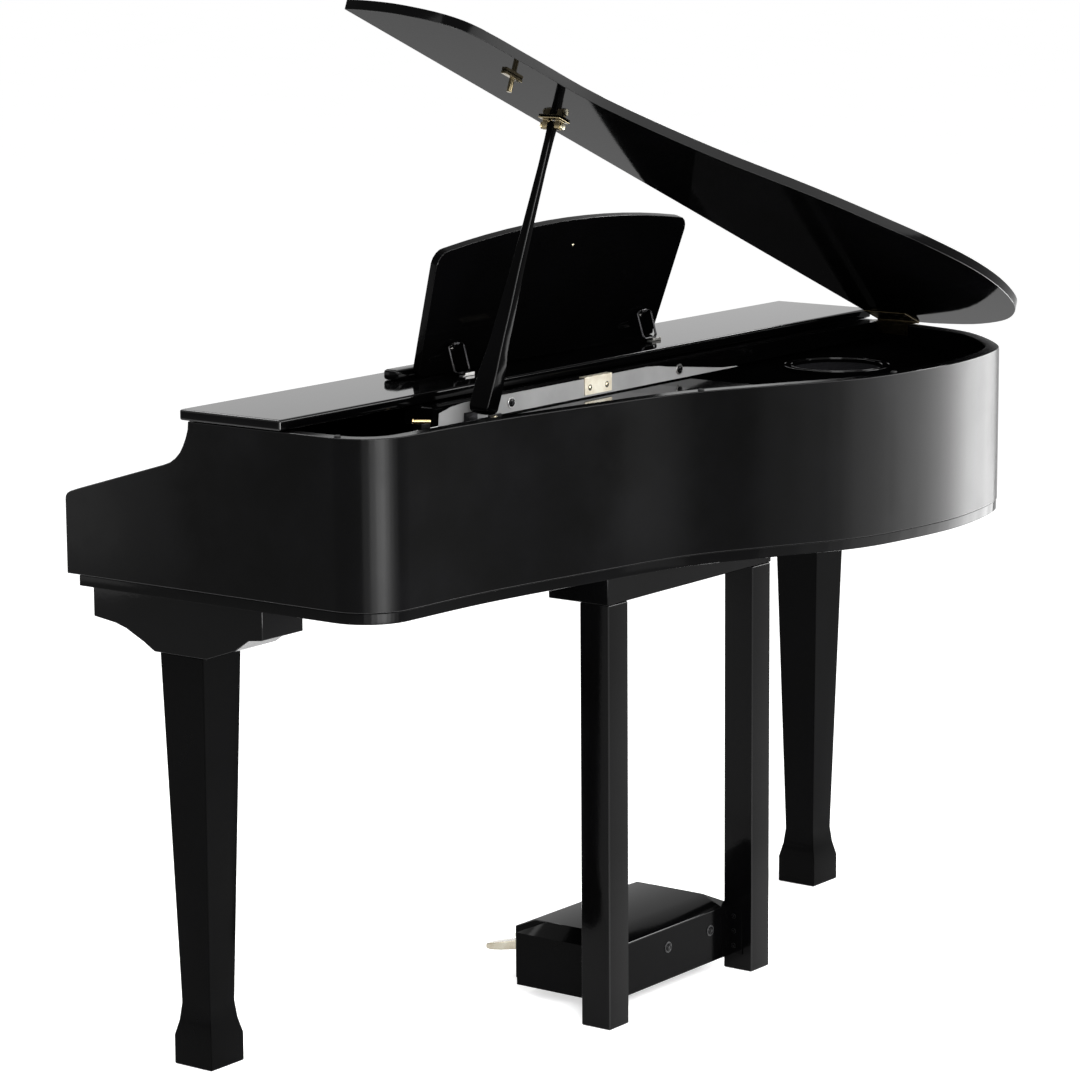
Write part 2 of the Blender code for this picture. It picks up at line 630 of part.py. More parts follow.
def lid_empty():
    """The lid's axis along Y, turned to the open position."""
    axis = bpy.data.objects.new("lid_axis", None)
    PARTS.objects.link(axis)
    axis.location = (LID_AXIS[0], 0.0, LID_AXIS[1])
    axis.rotation_euler = (0.0, -LID_ANGLE, 0.0)
    bpy.context.view_layer.update()
    return axis


def mount_on(axis, obj):
    """Parents a piece that was drawn with the lid shut to the lid's axis, so that it opens with it."""
    bpy.context.view_layer.update()
    shut = Matrix.Translation(axis.location)
    cutters = [modifier.object for modifier in obj.modifiers if modifier.type == "BOOLEAN"]
    for piece in (obj, *cutters):
        drawn = piece.matrix_world.copy()
        piece.parent = axis
        piece.matrix_parent_inverse = Matrix.Identity(4)
        piece.matrix_basis = shut.inverted() @ drawn
    return obj


def build_lid():
    axis = lid_empty()
    outline = [(-0.700, LID_FRONT), *smooth_path(LID_STATIONS, 4)]
    lid = prism("lid", outline, LID_Z[0], LID_Z[1], LACQUER, bevel=0.0025, segments=2)
    mount_on(axis, smooth_shade(lid, 40))

    under = LID_Z[0] - GAP
    leaf = box("lid_hinge_upper", (-0.6945, 0.4035, under - 0.0010), (-0.650, 0.4780, under), BRASS)
    mount_on(axis, leaf)
    add_fixed_leaf()

    x = LID_AXIS[0] + PROP_S
    head = box("prop_head_bracket", (x - 0.013, PROP_Y - 0.0180, under - 0.0025), (x + 0.013, PROP_Y + 0.0180, under),
               BRASS)
    for i, sign in enumerate((-1, 1)):
        middle = PROP_Y + sign * 0.0105
        lug = [(x - 0.0055, under - 0.0015), (x - 0.0055, under - PROP_DROP)]
        for k in range(1, 6):
            angle = math.radians(180 + 30 * k)
            lug.append((x + 0.0055 * math.cos(angle), under - PROP_DROP + 0.0055 * math.sin(angle)))
        lug += [(x + 0.0055, under - PROP_DROP), (x + 0.0055, under - 0.0015)]
        cut(head, prism(f"prop_lug_{i}", lug, -middle - 0.0045, -middle + 0.0045, None, FRONT), "UNION")
    mount_on(axis, head)

    striker = cylinder("lid_striker", (0.447, 0.500, under - 0.0120), 0.0036, 0.0220, "Z", BRASS, 16)
    bar = box("striker_bar", (0.430, 0.4960, under - 0.0042), (0.468, 0.5040, under), None)
    cut(striker, bar, "UNION")
    mount_on(axis, striker)
    build_prop()


def add_fixed_leaf():
    """The lower hinge leaf: a band down the rim's inner face and a flange over the rim's top."""
    start, end = HINGE_Y
    inner = [point for point in case_outline(WALL + GAP, 0.0) if point[0] < -0.600]
    between = [point for point in inner if start < point[1] < end]
    face = [crossing(inner, 1, end), *between, crossing(inner, 1, start)]
    back = [(x + HINGE_LEAF, y) for x, y in face[::-1]]
    low, top = HINGE_Z
    leaf = prism("lid_hinge_lower", face + back, low, top, BRASS)
    flange = [(HINGE_EDGE, start), (back[0][0], start), (back[-1][0], end), (HINGE_EDGE, end)]
    cut(leaf, prism("hinge_flange", flange, RIM_TOP + GAP, top, None), "UNION")


def prop_head():
    """World place of the prop's head pivot with the lid open."""
    along, below = PROP_S, LID_Z[0] - LID_AXIS[1] - PROP_DROP
    x = LID_AXIS[0] + along * math.cos(LID_ANGLE) - below * math.sin(LID_ANGLE)
    z = LID_AXIS[1] + along * math.sin(LID_ANGLE) + below * math.cos(LID_ANGLE)
    return Vector((x, PROP_Y, z))


def build_prop():
    """The prop: round-ended neck, slender square rod and the broad paddle foot, drawn hanging down."""
    sections = []
    for down, left, right, half in (
            (-0.0062, 0.0028, 0.0028, 0.0040), (-0.0045, 0.0048, 0.0048, 0.0048), (0.0, 0.0060, 0.0060, 0.0052),
            (0.020, 0.0052, 0.0052, 0.0050), (0.060, 0.0048, 0.0048, 0.0050), (0.140, 0.0055, 0.0052, 0.0062),
            (0.210, 0.0066, 0.0060, 0.0080), (0.265, 0.0076, 0.0064, 0.0104), (0.300, 0.0085, 0.0070, 0.0114),
            (0.318, 0.0096, 0.0076, 0.0124), (0.336, 0.0112, 0.0086, 0.0140), (0.352, 0.0126, 0.0093, 0.0155),
            (0.368, 0.0136, 0.0099, 0.0162), (0.398, 0.0138, 0.0100, 0.0163), (PROP_LENGTH, 0.0112, 0.0084, 0.0142)):
        sections.append([(-left, -half, -down), (right, -half, -down), (right, half, -down), (-left, half, -down)])
    prop = loft("lid_prop", sections, LACQUER)
    prop.location = prop_head()
    prop.rotation_euler = (0.0, -PROP_LEAN, 0.0)
    add_bevel(prop, 0.0012, 1, 60)

    foot = prop_head() + Vector((math.sin(PROP_LEAN), 0.0, -math.cos(PROP_LEAN))) * PROP_LENGTH
    top = SOUNDBOARD_Z[1] + GAP
    base = box("prop_foot_bracket", (foot.x - 0.024, PROP_Y - 0.0220, top), (PROP_NOTCH[0], PROP_Y + 0.0220, top + 0.002),
               BRASS)
    for i, sign in enumerate((-1, 1)):
        middle = PROP_Y + sign * 0.0202
        start = (foot.x - 0.016, middle - 0.0015, top + 0.001)
        end = (PROP_NOTCH[0] - 0.001, middle + 0.0015, top + 0.0145)
        cut(base, box(f"prop_cheek_{i}", start, end, None), "UNION")


def build_music_desk():
    bottom = 0.0015
    corner = 0.020
    side = DESK_HALF + DESK_FLARE
    outline = [(-DESK_HALF + 0.006, bottom), (DESK_HALF - 0.006, bottom), (DESK_HALF, bottom + 0.006)]
    for k in range(5):
        angle = math.radians(22.5 * k)
        outline.append((side - corner + corner * math.cos(angle), 0.166 + corner * math.sin(angle)))
    span = side - corner
    for k in range(1, 12):
        u = 1 - k / 6
        outline.append((span * u, 0.186 + (DESK_HEIGHT - 0.186) * (1 - u * u)))
    for k in range(5):
        angle = math.radians(90 + 22.5 * k)
        outline.append((-side + corner + corner * math.cos(angle), 0.166 + corner * math.sin(angle)))
    outline.append((-DESK_HALF, bottom + 0.006))
    desk = prism("music_desk", outline, 0.0, DESK_THICK, LACQUER, FRONT, bevel=0.0025, segments=2)
    bpy.context.view_layer.update()
    desk.data.transform(Matrix.Translation((0.0, 0.0, DESK_THICK / 2)))
    desk.matrix_world = Matrix.Translation((DESK_CENTRE, *DESK_FOOT)) @ Matrix.Rotation(-DESK_LEAN, 4, "X") @ FRONT
    smooth_shade(desk, 40)

    box("desk_ledge", (LEDGE_X[0], LEDGE_Y[0], LEDGE_Z[0]), (LEDGE_X[1], LEDGE_Y[1], LEDGE_Z[1]), LACQUER, 0.004, 2)
    for side_name, centre in STAY_CENTRES.items():
        add_stay(side_name, centre)


def add_stay(side, centre):
    """A wire loop hinged on the back of the desk, its foot bar standing on the flap."""
    rise = Vector((0.0, STAY_HEAD[0] - STAY_FOOT[0], STAY_HEAD[1] - STAY_FOOT[1]))
    length = rise.length
    curve = bpy.data.curves.new(f"desk_stay_{side}", "CURVE")
    curve.dimensions = "3D"
    curve.bevel_depth = STAY_WIRE
    curve.bevel_resolution = 1
    curve.use_fill_caps = True
    spline = curve.splines.new("POLY")
    bend = 0.004
    points = [(0.002, 0.0), (STAY_HALF - bend, 0.0), (STAY_HALF, -bend), (STAY_HALF, -length + bend),
              (STAY_HALF - bend, -length), (-STAY_HALF + bend, -length), (-STAY_HALF, -length + bend),
              (-STAY_HALF, -bend), (-STAY_HALF + bend, 0.0), (-0.002, 0.0)]
    spline.points.add(len(points) - 1)
    for point, (x, z) in zip(spline.points, points):
        point.co = (x, 0.0, z, 1.0)
    drawn = bpy.data.objects.new(f"desk_stay_{side}_path", curve)
    bpy.context.scene.collection.objects.link(drawn)
    mesh = bpy.data.meshes.new_from_object(drawn.evaluated_get(bpy.context.evaluated_depsgraph_get()))
    bpy.data.objects.remove(drawn)
    shape = bmesh.new()
    shape.from_mesh(mesh)
    bmesh.ops.remove_doubles(shape, verts=shape.verts, dist=0.00001)
    bmesh.ops.recalc_face_normals(shape, faces=shape.faces)
    shape.to_mesh(mesh)
    shape.free()
    stay = smooth_shade(add_object(f"desk_stay_{side}", mesh, WIRE), 50)
    stay.location = (centre, *STAY_HEAD)
    stay.rotation_euler = (math.atan2(STAY_FOOT[0] - STAY_HEAD[0], STAY_HEAD[1] - STAY_FOOT[1]), 0.0, 0.0)


def build_legs():
    for side, (x, y) in (("treble", TREBLE_LEG), ("bass", BASS_LEG)):
        sections = []
        for z, half in LEG_SECTIONS:
            sections.append([(-half, -half, z), (half, -half, z), (half, half, z), (-half, half, z)])
        leg = loft(f"leg_{side}", sections, LACQUER)
        leg.location = (x, y, 0.0)
        add_bevel(leg, 0.0015, 1, 60)
        outline = [(y + along, z) for along, z in BRACKET_PROFILE]
        prism(f"leg_bracket_{side}", outline, x - BRACKET_HALF, x + BRACKET_HALF, LACQUER, SIDE, bevel=0.001)


def build_lyre():
    box("lyre_block", (LYRE_BLOCK_X[0], LYRE_BLOCK_Y[0], LYRE_BLOCK_Z[0]),
        (LYRE_BLOCK_X[1], LYRE_BLOCK_Y[1], LYRE_BLOCK_Z[1]), LACQUER, 0.001)
    wide, deep = POST_SIZE
    for side, x in POST_X.items():
        box(f"lyre_post_{side}", (x - wide / 2, POST_Y - deep / 2, 0.0),
            (x + wide / 2, POST_Y + deep / 2, LYRE_BLOCK_Z[0] - GAP), LACQUER, 0.0015)
    case = prism("pedal_box", PEDAL_BOX_PROFILE, PEDAL_BOX_X[0], PEDAL_BOX_X[1], LACQUER, SIDE)
    middle = (PEDAL_BOX_X[0] + PEDAL_BOX_X[1]) / 2
    for name, place in (("soft", -1), ("sostenuto", 0), ("damper", 1)):
        x = middle + place * PEDAL_SPACING
        cut(case, box(f"{name}_slot", (x - PEDAL_SLOT_HALF, 0.310, PEDAL_SLOT[0]),
                      (x + PEDAL_SLOT_HALF, PEDAL_SLOT_END, PEDAL_SLOT[1] + 0.004), None))
        sections = []
        for y, low, high, half in PEDAL_STATIONS:
            dy, low, high = y - PEDAL_PIVOT[0], low - PEDAL_PIVOT[1], high - PEDAL_PIVOT[1]
            sections.append([(-half, dy, low), (half, dy, low), (half, dy, high), (-half, dy, high)])
        pedal = loft(f"pedal_{name}", sections, BRASS)
        pedal.location = (x, *PEDAL_PIVOT)
        add_bevel(pedal, 0.0018, 2, 50)
    add_strap("treble", PEDAL_BOX_X[1] + GAP, POST_X["treble"] - wide / 2 - GAP)
    add_strap("bass", PEDAL_BOX_X[0] - GAP, POST_X["bass"] + wide / 2 + GAP)


def add_strap(side, box_face, post_face):
    """The steel angle that carries an end of the pedal box on a post, drawn in plan."""
    sheet = 0.002 if post_face > box_face else -0.002
    outline = [(box_face, 0.450), (box_face + sheet, 0.450), (box_face + sheet, 0.494), (post_face, 0.494),
               (post_face, 0.5265), (post_face - sheet, 0.5265), (post_face - sheet, 0.496), (box_face, 0.496)]
    prism(f"pedal_strap_{side}", outline, 0.024, 0.092, STEEL)


def centre_on_origin():
    """Moves the whole piano forward so that the origin lies on the floor under its middle."""
    for obj in (*PARTS.objects, *CUTTERS.objects):
        if obj.parent is None:
            obj.location.y -= ORIGIN_Y


def main():
    build_case()
    build_inside()
    build_keyboard()
    build_cover_and_panel()
    build_lid()
    build_music_desk()
    build_legs()
    build_lyre()
    centre_on_origin()


main()
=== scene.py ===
"""Digital grand piano: finishes, fittings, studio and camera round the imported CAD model."""
import json
import math

import bmesh
import bpy
from mathutils import Matrix, Vector


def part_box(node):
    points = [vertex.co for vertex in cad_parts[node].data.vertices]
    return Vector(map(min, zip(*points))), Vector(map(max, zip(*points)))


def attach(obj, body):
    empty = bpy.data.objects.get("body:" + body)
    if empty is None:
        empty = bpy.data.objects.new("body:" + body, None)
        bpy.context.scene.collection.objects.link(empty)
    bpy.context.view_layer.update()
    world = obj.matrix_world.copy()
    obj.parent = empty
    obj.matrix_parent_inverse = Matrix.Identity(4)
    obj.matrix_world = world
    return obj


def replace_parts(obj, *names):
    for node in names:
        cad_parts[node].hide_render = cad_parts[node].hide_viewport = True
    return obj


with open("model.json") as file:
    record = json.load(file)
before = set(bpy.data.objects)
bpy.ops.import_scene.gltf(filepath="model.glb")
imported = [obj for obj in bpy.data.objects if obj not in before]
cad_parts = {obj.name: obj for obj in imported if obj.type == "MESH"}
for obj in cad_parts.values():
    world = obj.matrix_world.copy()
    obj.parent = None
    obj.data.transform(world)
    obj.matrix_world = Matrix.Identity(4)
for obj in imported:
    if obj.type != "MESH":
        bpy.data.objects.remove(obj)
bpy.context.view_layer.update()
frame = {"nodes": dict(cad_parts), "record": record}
NODES = frame["nodes"]
RECORD = frame["record"]
JOINTS = {joint["name"]: joint for joint in RECORD["behaviour"]["joints"]}

# Depths in this file are measured from the front of the arms; DEPTH moves them to the model's frame
DEPTH = -0.37875
LID_AXIS = Vector(JOINTS["lid_hinge"]["pos_m"])
LID_TURN = Matrix.Rotation(-math.radians(JOINTS["lid_hinge"]["range_deg"][1]), 3, "Y")
PROP_PIVOT = Vector(JOINTS["prop_fold"]["pos_m"])
DESK_FOOT = Vector(JOINTS["desk_tilt"]["pos_m"])
STAY_HEADS = [Vector(JOINTS[f"stay_fold_{side}"]["pos_m"]) for side in ("treble", "bass")]
UP = Vector((0, 0, 1))


def at(x, y, z):
    """A place in the model's frame, its depth given from the front of the arms."""
    return Vector((x, y + DEPTH, z))


# Materials


class Paint:
    """Builds one procedural material: nodes are added by type, and their inputs are set by name."""

    def __init__(self, name, colour, roughness, metallic=0.0, specular=0.5):
        self.material = bpy.data.materials.new(name)
        self.material.use_nodes = True
        self.tree = self.material.node_tree
        self.shader = self.tree.nodes["Principled BSDF"]
        self.shader.inputs["Base Color"].default_value = (*colour, 1.0)
        self.shader.inputs["Roughness"].default_value = roughness
        self.shader.inputs["Metallic"].default_value = metallic
        self.shader.inputs["Specular IOR Level"].default_value = specular
        self.material.diffuse_color = (*colour, 1.0)

    def node(self, kind, **values):
        made = self.tree.nodes.new(kind)
        for key, value in values.items():
            if key in made.inputs:
                made.inputs[key].default_value = value
            else:
                setattr(made, key, value)
        return made

    def link(self, socket, name):
        self.tree.links.new(socket, self.shader.inputs[name])

    def place(self, scale=(1.0, 1.0, 1.0)):
        coordinates = self.node("ShaderNodeTexCoord")
        mapping = self.node("ShaderNodeMapping")
        mapping.inputs["Scale"].default_value = scale
        self.tree.links.new(coordinates.outputs["Object"], mapping.inputs["Vector"])
        return mapping.outputs["Vector"]

    def noise(self, vector, size, detail=2.0, rough=0.5):
        made = self.node("ShaderNodeTexNoise", Scale=size, Detail=detail, Roughness=rough)
        self.tree.links.new(vector, made.inputs["Vector"])
        return made.outputs["Fac"]

    def between(self, fac, low, high, start=0.0, end=1.0):
        made = self.node("ShaderNodeMapRange")
        made.inputs["From Min"].default_value = start
        made.inputs["From Max"].default_value = end
        made.inputs["To Min"].default_value = low
        made.inputs["To Max"].default_value = high
        self.tree.links.new(fac, made.inputs["Value"])
        return made.outputs["Result"]

    def ramp(self, fac, *stops):
        made = self.node("ShaderNodeValToRGB")
        elements = made.color_ramp.elements
        while len(elements) < len(stops):
            elements.new(0.5)
        for element, (place, colour) in zip(elements, stops):
            element.position = place
            element.color = (*colour, 1.0)
        self.tree.links.new(fac, made.inputs["Fac"])
        return made.outputs["Color"]

    def bump(self, height, strength, distance):
        made = self.node("ShaderNodeBump", Strength=strength, Distance=distance)
        self.tree.links.new(height, made.inputs["Height"])
        self.link(made.outputs["Normal"], "Normal")


def lacquer(name, specular=0.04, roughness=0.08, shade=0.0010):
    """Polished polyester lacquer: deep black, faint clouding of the gloss and a trace of orange peel."""
    paint = Paint(name, (shade, shade, shade * 1.12), roughness, 0.0, specular)
    where = paint.place()
    cloud = paint.noise(where, 9.0, 4.0, 0.55)
    paint.link(paint.between(cloud, roughness * 0.75, roughness * 1.5, 0.3, 0.7), "Roughness")
    tones = (0.35, (shade * 0.8,) * 3), (0.65, (shade, shade, shade * 1.15))
    paint.link(paint.ramp(cloud, *tones), "Base Color")
    peel = paint.noise(where, 210.0, 2.0, 0.5)
    paint.bump(peel, 0.05, 0.0006)
    return paint.material


def satin(name, colour, roughness, grain=700.0, specular=0.35):
    """Sprayed satin finish with a fine grain."""
    paint = Paint(name, colour, roughness, 0.0, specular)
    where = paint.place()
    fine = paint.noise(where, grain, 3.0, 0.6)
    paint.link(paint.between(fine, roughness * 0.85, min(1.0, roughness * 1.2), 0.3, 0.7), "Roughness")
    dark = tuple(c * 0.82 for c in colour)
    paint.link(paint.ramp(paint.noise(where, 14.0, 4.0), (0.35, dark), (0.65, colour)), "Base Color")
    paint.bump(fine, 0.12, 0.0004)
    return paint.material


def metal(name, colour, roughness, stretch=(1.0, 1.0, 1.0), strength=0.10):
    """Metal with drawn scratches along one axis and slight tarnish in patches."""
    paint = Paint(name, colour, roughness, 1.0, 0.5)
    where = paint.place(stretch)
    line = paint.noise(where, 900.0, 3.0, 0.6)
    patch = paint.noise(paint.place(), 38.0, 4.0, 0.6)
    dark = tuple(c * f for c, f in zip(colour, (0.80, 0.76, 0.70)))
    paint.link(paint.ramp(patch, (0.32, dark), (0.62, colour)), "Base Color")
    paint.link(paint.between(line, roughness * 0.7, roughness * 1.5, 0.3, 0.7), "Roughness")
    paint.bump(line, strength, 0.0003)
    return paint.material


def ivory(name):
    """Moulded key top: warm white, with a faint sheen variation and a fine satin texture."""
    paint = Paint(name, (0.86, 0.85, 0.80), 0.24, 0.0, 0.5)
    where = paint.place((1.0, 0.15, 1.0))
    tones = (0.3, (0.845, 0.83, 0.785)), (0.7, (0.865, 0.855, 0.81))
    paint.link(paint.ramp(paint.noise(where, 160.0, 3.0), *tones), "Base Color")
    paint.link(paint.between(paint.noise(paint.place(), 60.0, 3.0), 0.18, 0.32, 0.3, 0.7), "Roughness")
    paint.bump(paint.noise(paint.place(), 1500.0), 0.05, 0.0002)
    return paint.material


def ebony(name):
    """Black key: matt grain drawn along its length."""
    paint = Paint(name, (0.012, 0.012, 0.013), 0.38, 0.0, 0.4)
    where = paint.place((1.0, 0.06, 1.0))
    streak = paint.noise(where, 900.0, 4.0, 0.6)
    tones = (0.35, (0.008, 0.008, 0.009)), (0.65, (0.017, 0.017, 0.018))
    paint.link(paint.ramp(streak, *tones), "Base Color")
    paint.link(paint.between(streak, 0.28, 0.46, 0.3, 0.7), "Roughness")
    paint.bump(streak, 0.15, 0.0003)
    return paint.material


def timber(name):
    """Bare spruce board."""
    paint = Paint(name, (0.42, 0.29, 0.17), 0.6, 0.0, 0.3)
    where = paint.place((0.35, 6.0, 6.0))
    grain = paint.noise(where, 22.0, 6.0, 0.65)
    tones = (0.30, (0.30, 0.19, 0.10)), (0.48, (0.46, 0.32, 0.19)), (0.70, (0.56, 0.42, 0.27))
    paint.link(paint.ramp(grain, *tones), "Base Color")
    paint.bump(grain, 0.25, 0.0006)
    return paint.material


def felt(name, colour):
    """Felt: fuzzy, no gloss."""
    paint = Paint(name, colour, 0.95, 0.0, 0.1)
    paint.shader.inputs["Sheen Weight"].default_value = 0.35
    paint.shader.inputs["Sheen Roughness"].default_value = 0.6
    where = paint.place()
    fuzz = paint.noise(where, 1400.0, 4.0, 0.7)
    dark = tuple(c * 0.55 for c in colour)
    paint.link(paint.ramp(fuzz, (0.35, dark), (0.65, colour)), "Base Color")
    paint.bump(fuzz, 0.5, 0.0008)
    return paint.material


def cone_paper(name):
    """Pressed paper cone in a black basket, its fibres in the bump."""
    paint = Paint(name, (0.010, 0.010, 0.011), 0.82, 0.0, 0.0)
    where = paint.place()
    fibre = paint.noise(where, 420.0, 5.0, 0.7)
    tones = (0.35, (0.006, 0.006, 0.007)), (0.65, (0.014, 0.014, 0.015))
    paint.link(paint.ramp(fibre, *tones), "Base Color")
    paint.bump(fibre, 0.35, 0.0006)
    return paint.material


def circuit(name):
    """Green laminate with copper runs under the solder mask."""
    paint = Paint(name, (0.02, 0.12, 0.05), 0.42, 0.0, 0.5)
    where = paint.place()
    cells = paint.node("ShaderNodeTexVoronoi", Scale=130.0)
    cells.distance = "MANHATTAN"
    cells.feature = "F2"
    paint.tree.links.new(where, cells.inputs["Vector"])
    runs = cells.outputs["Distance"]
    mask, copper = (0.016, 0.10, 0.04), (0.05, 0.19, 0.07)
    paint.link(paint.ramp(runs, (0.42, mask), (0.5, copper), (0.58, mask)), "Base Color")
    paint.link(paint.between(paint.noise(where, 300.0), 0.3, 0.55), "Roughness")
    paint.bump(runs, 0.1, 0.0003)
    return paint.material


# Copies of one black lacquer whose gloss level is set part by part, to paint a brighter sheen on some parts
# and shade on others
LACQUER = lacquer("black_lacquer")
RIM_LACQUER = lacquer("black_lacquer_rim", 0.04, 0.17, 0.0010)
BRIGHT_SHEEN_LACQUER = lacquer("black_lacquer_bright_sheen", 0.11, 0.045, 0.0016)
BOARD_LACQUER = lacquer("black_lacquer_board", 0.16, 0.045, 0.0012)
LYRE_LACQUER = lacquer("black_lacquer_lyre", 0.06, 0.08, 0.0010)
LEG_LACQUER = lacquer("black_lacquer_leg", 0.022, 0.10, 0.0010)
PROP_LACQUER = lacquer("black_lacquer_prop", 0.015, 0.06, 0.0010)
EDGE_HIGHLIGHT_LACQUER = lacquer("black_lacquer_edge_highlight", 0.22, 0.06, 0.0012)
LID_SHADE_LACQUER = lacquer("black_lacquer_lid_shade", 0.010, 0.05, 0.0010)
# Brass darkened to near black, for the lid hinge
DARK_BRASS = metal("near_black_brass", (0.060, 0.048, 0.027), 0.26)
PROP_BRASS = metal("prop_brass", (0.17, 0.142, 0.085), 0.22)
PLATE_BRASS = metal("satin_brass", (0.90, 0.86, 0.74), 0.50)
# Light grey satin for the band on the cross board, whose outline is painted shade
GREY_BAND = satin("grey_band", (0.40, 0.40, 0.40), 0.55, 500.0, 0.25)
SATIN = satin("black_satin", (0.010, 0.010, 0.011), 0.42)
PLASTIC = satin("black_plastic", (0.013, 0.013, 0.014), 0.36, 1500.0)
RUBBER = satin("black_rubber", (0.016, 0.016, 0.016), 0.7, 900.0)
BRASS = metal("brass", (0.80, 0.60, 0.30), 0.20)
PEDAL_BRASS = metal("pedal_nickel", (0.36, 0.34, 0.28), 0.16, (1.0, 0.08, 1.0))
PALE_BRASS = metal("pale_brass", (0.86, 0.79, 0.60), 0.24)
STEEL = metal("steel", (0.50, 0.50, 0.50), 0.34, (1.0, 0.1, 1.0))
BLACK_METAL = metal("blackened_steel", (0.035, 0.035, 0.038), 0.30)
WIRE = metal("black_wire", (0.030, 0.030, 0.032), 0.24)
IVORY = ivory("white_key")
EBONY = ebony("black_key")
WOOD = timber("key_frame_wood")
RED_FELT = felt("red_felt", (0.16, 0.008, 0.012))
CONE = cone_paper("speaker_cone")
CIRCUIT = circuit("circuit_green")

FINISHES = {name: finish for finish, names in (
    (RIM_LACQUER, "rim"),
    (BOARD_LACQUER, "soundboard"),
    (PROP_LACQUER, "lid_prop music_desk"),
    (LYRE_LACQUER, "lyre_post_treble lyre_post_bass lyre_block leg_bracket_treble leg_bracket_bass"),
    (LEG_LACQUER, "leg_treble leg_bass pedal_box"),
    (SATIN, "bay_floor"),
    (PLASTIC, "control_panel volume_knob power_button mode_button_1 mode_button_2 mode_button_3"),
    (DARK_BRASS, "lid_hinge_lower lid_hinge_upper"),
    (PROP_BRASS, "prop_head_bracket lid_striker"),
    (BLACK_METAL, "prop_foot_bracket"),
    (PEDAL_BRASS, "pedal_soft pedal_sostenuto pedal_damper"),
    (STEEL, "power_supply"),
    (WIRE, "desk_stay_treble desk_stay_bass"),
    (IVORY, "keys_low keys_high"),
    (WOOD, "key_frame"),
    (CONE, "speaker_driver"),
    (CIRCUIT, "main_board"),
) for name in names.split()}


def finish_nodes():
    """Gives every CAD node its finish: the loose keys by their names, and what isn't listed the lacquer."""
    for name, node in NODES.items():
        finish = FINISHES.get(name, LACQUER)
        if name.startswith("key_") and name not in ("key_slip", "key_frame", "key_cover"):
            finish = EBONY if name.endswith("sharp") else IVORY
        node.data.materials.clear()
        node.data.materials.append(finish)


# Pieces


def new_piece(name, shape, finish, body, smooth=35.0, weighted=True):
    """Turns a bmesh, drawn in the model's frame, into a piece that rides on a body."""
    mesh = bpy.data.meshes.new(name)
    bmesh.ops.recalc_face_normals(shape, faces=shape.faces)
    shape.to_mesh(mesh)
    shape.free()
    mesh.materials.append(finish)
    mesh.shade_smooth()
    mesh.set_sharp_from_angle(angle=math.radians(smooth))
    obj = bpy.data.objects.new(name, mesh)
    bpy.context.scene.collection.objects.link(obj)
    if weighted:
        even = obj.modifiers.new("even", "WEIGHTED_NORMAL")
        even.keep_sharp = True
    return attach(obj, body)


def soften(shape, width, segments=3, sharp=30.0, edges=None):
    """Rounds the edges that are given, or else every edge that is sharper than an angle."""
    if edges is None:
        limit = math.radians(sharp)
        edges = [e for e in shape.edges if e.is_manifold and e.calc_face_angle(0.0) > limit]
    bmesh.ops.bevel(shape, geom=edges, offset=width, offset_type="OFFSET", segments=segments,
                    profile=0.5, affect="EDGES", clamp_overlap=True)


def body_holding(name):
    for body, members in RECORD["behaviour"]["bodies"].items():
        if name in members:
            return body
    raise KeyError(name)


def dress(name, width, segments, smooth):
    """Stands in for a CAD node with the same shape, its edges rounded and its curves shaded smooth."""
    source = NODES[name].data
    mesh = bpy.data.meshes.new(name + "_copy")
    mesh.from_pydata([v.co[:] for v in source.vertices], [], [p.vertices[:] for p in source.polygons])
    shape = bmesh.new()
    shape.from_mesh(mesh)
    bpy.data.meshes.remove(mesh)
    bmesh.ops.remove_doubles(shape, verts=shape.verts, dist=0.00001)
    bmesh.ops.dissolve_limit(shape, angle_limit=math.radians(0.2), verts=shape.verts, edges=shape.edges)
    if width:
        soften(shape, width, segments)
    finish = NODES[name].data.materials[0]
    piece = new_piece(name + "_finished", shape, finish, body_holding(name), smooth)
    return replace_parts(piece, name)


def add_block(shape, low, high):
    """Adds a box between two corners and returns its vertices."""
    made = bmesh.ops.create_cube(shape, size=1.0)["verts"]
    for vert in made:
        for i in range(3):
            vert.co[i] = high[i] if vert.co[i] > 0 else low[i]
    return made


def block(name, low, high, finish, width=0.0008):
    """A block on the case, with rounded edges."""
    shape = bmesh.new()
    add_block(shape, low, high)
    soften(shape, width, 2)
    new_piece(name, shape, finish, "case")


def add_prism(shape, near, far):
    """Adds a solid between two outlines of as many corners."""
    near = [shape.verts.new(place) for place in near]
    far = [shape.verts.new(place) for place in far]
    shape.faces.new(near)
    shape.faces.new(far[::-1])
    for i in range(len(near)):
        j = (i + 1) % len(near)
        shape.faces.new((near[i], near[j], far[j], far[i]))


def merge(shape, part):
    """Adds one bmesh's faces to another."""
    mesh = bpy.data.meshes.new("merge")
    part.to_mesh(mesh)
    part.free()
    shape.from_mesh(mesh)
    bpy.data.meshes.remove(mesh)


def add_turned(shape, profile, place, normal, sides=24):
    """Adds a lathe-turned form: profile in (radius, height) along the normal from the place."""
    turn = UP.rotation_difference(Vector(normal)).to_matrix()
    rings = []
    for radius, height in profile:
        if radius == 0.0:
            rings.append([shape.verts.new(Vector(place) + turn @ Vector((0, 0, height)))])
            continue
        ring = []
        for k in range(sides):
            angle = 2 * math.pi * k / sides
            spot = Vector((radius * math.cos(angle), radius * math.sin(angle), height))
            ring.append(shape.verts.new(Vector(place) + turn @ spot))
        rings.append(ring)
    if len(rings[0]) > 1:
        shape.faces.new(rings[0][::-1])
    if len(rings[-1]) > 1:
        shape.faces.new(rings[-1])
    for lower, upper in zip(rings, rings[1:]):
        for k in range(sides):
            j = (k + 1) % sides
            if len(upper) == 1:
                shape.faces.new((lower[k], lower[j], upper[0]))
            elif len(lower) == 1:
                shape.faces.new((lower[0], upper[j], upper[k]))
            else:
                shape.faces.new((lower[k], lower[j], upper[j], upper[k]))


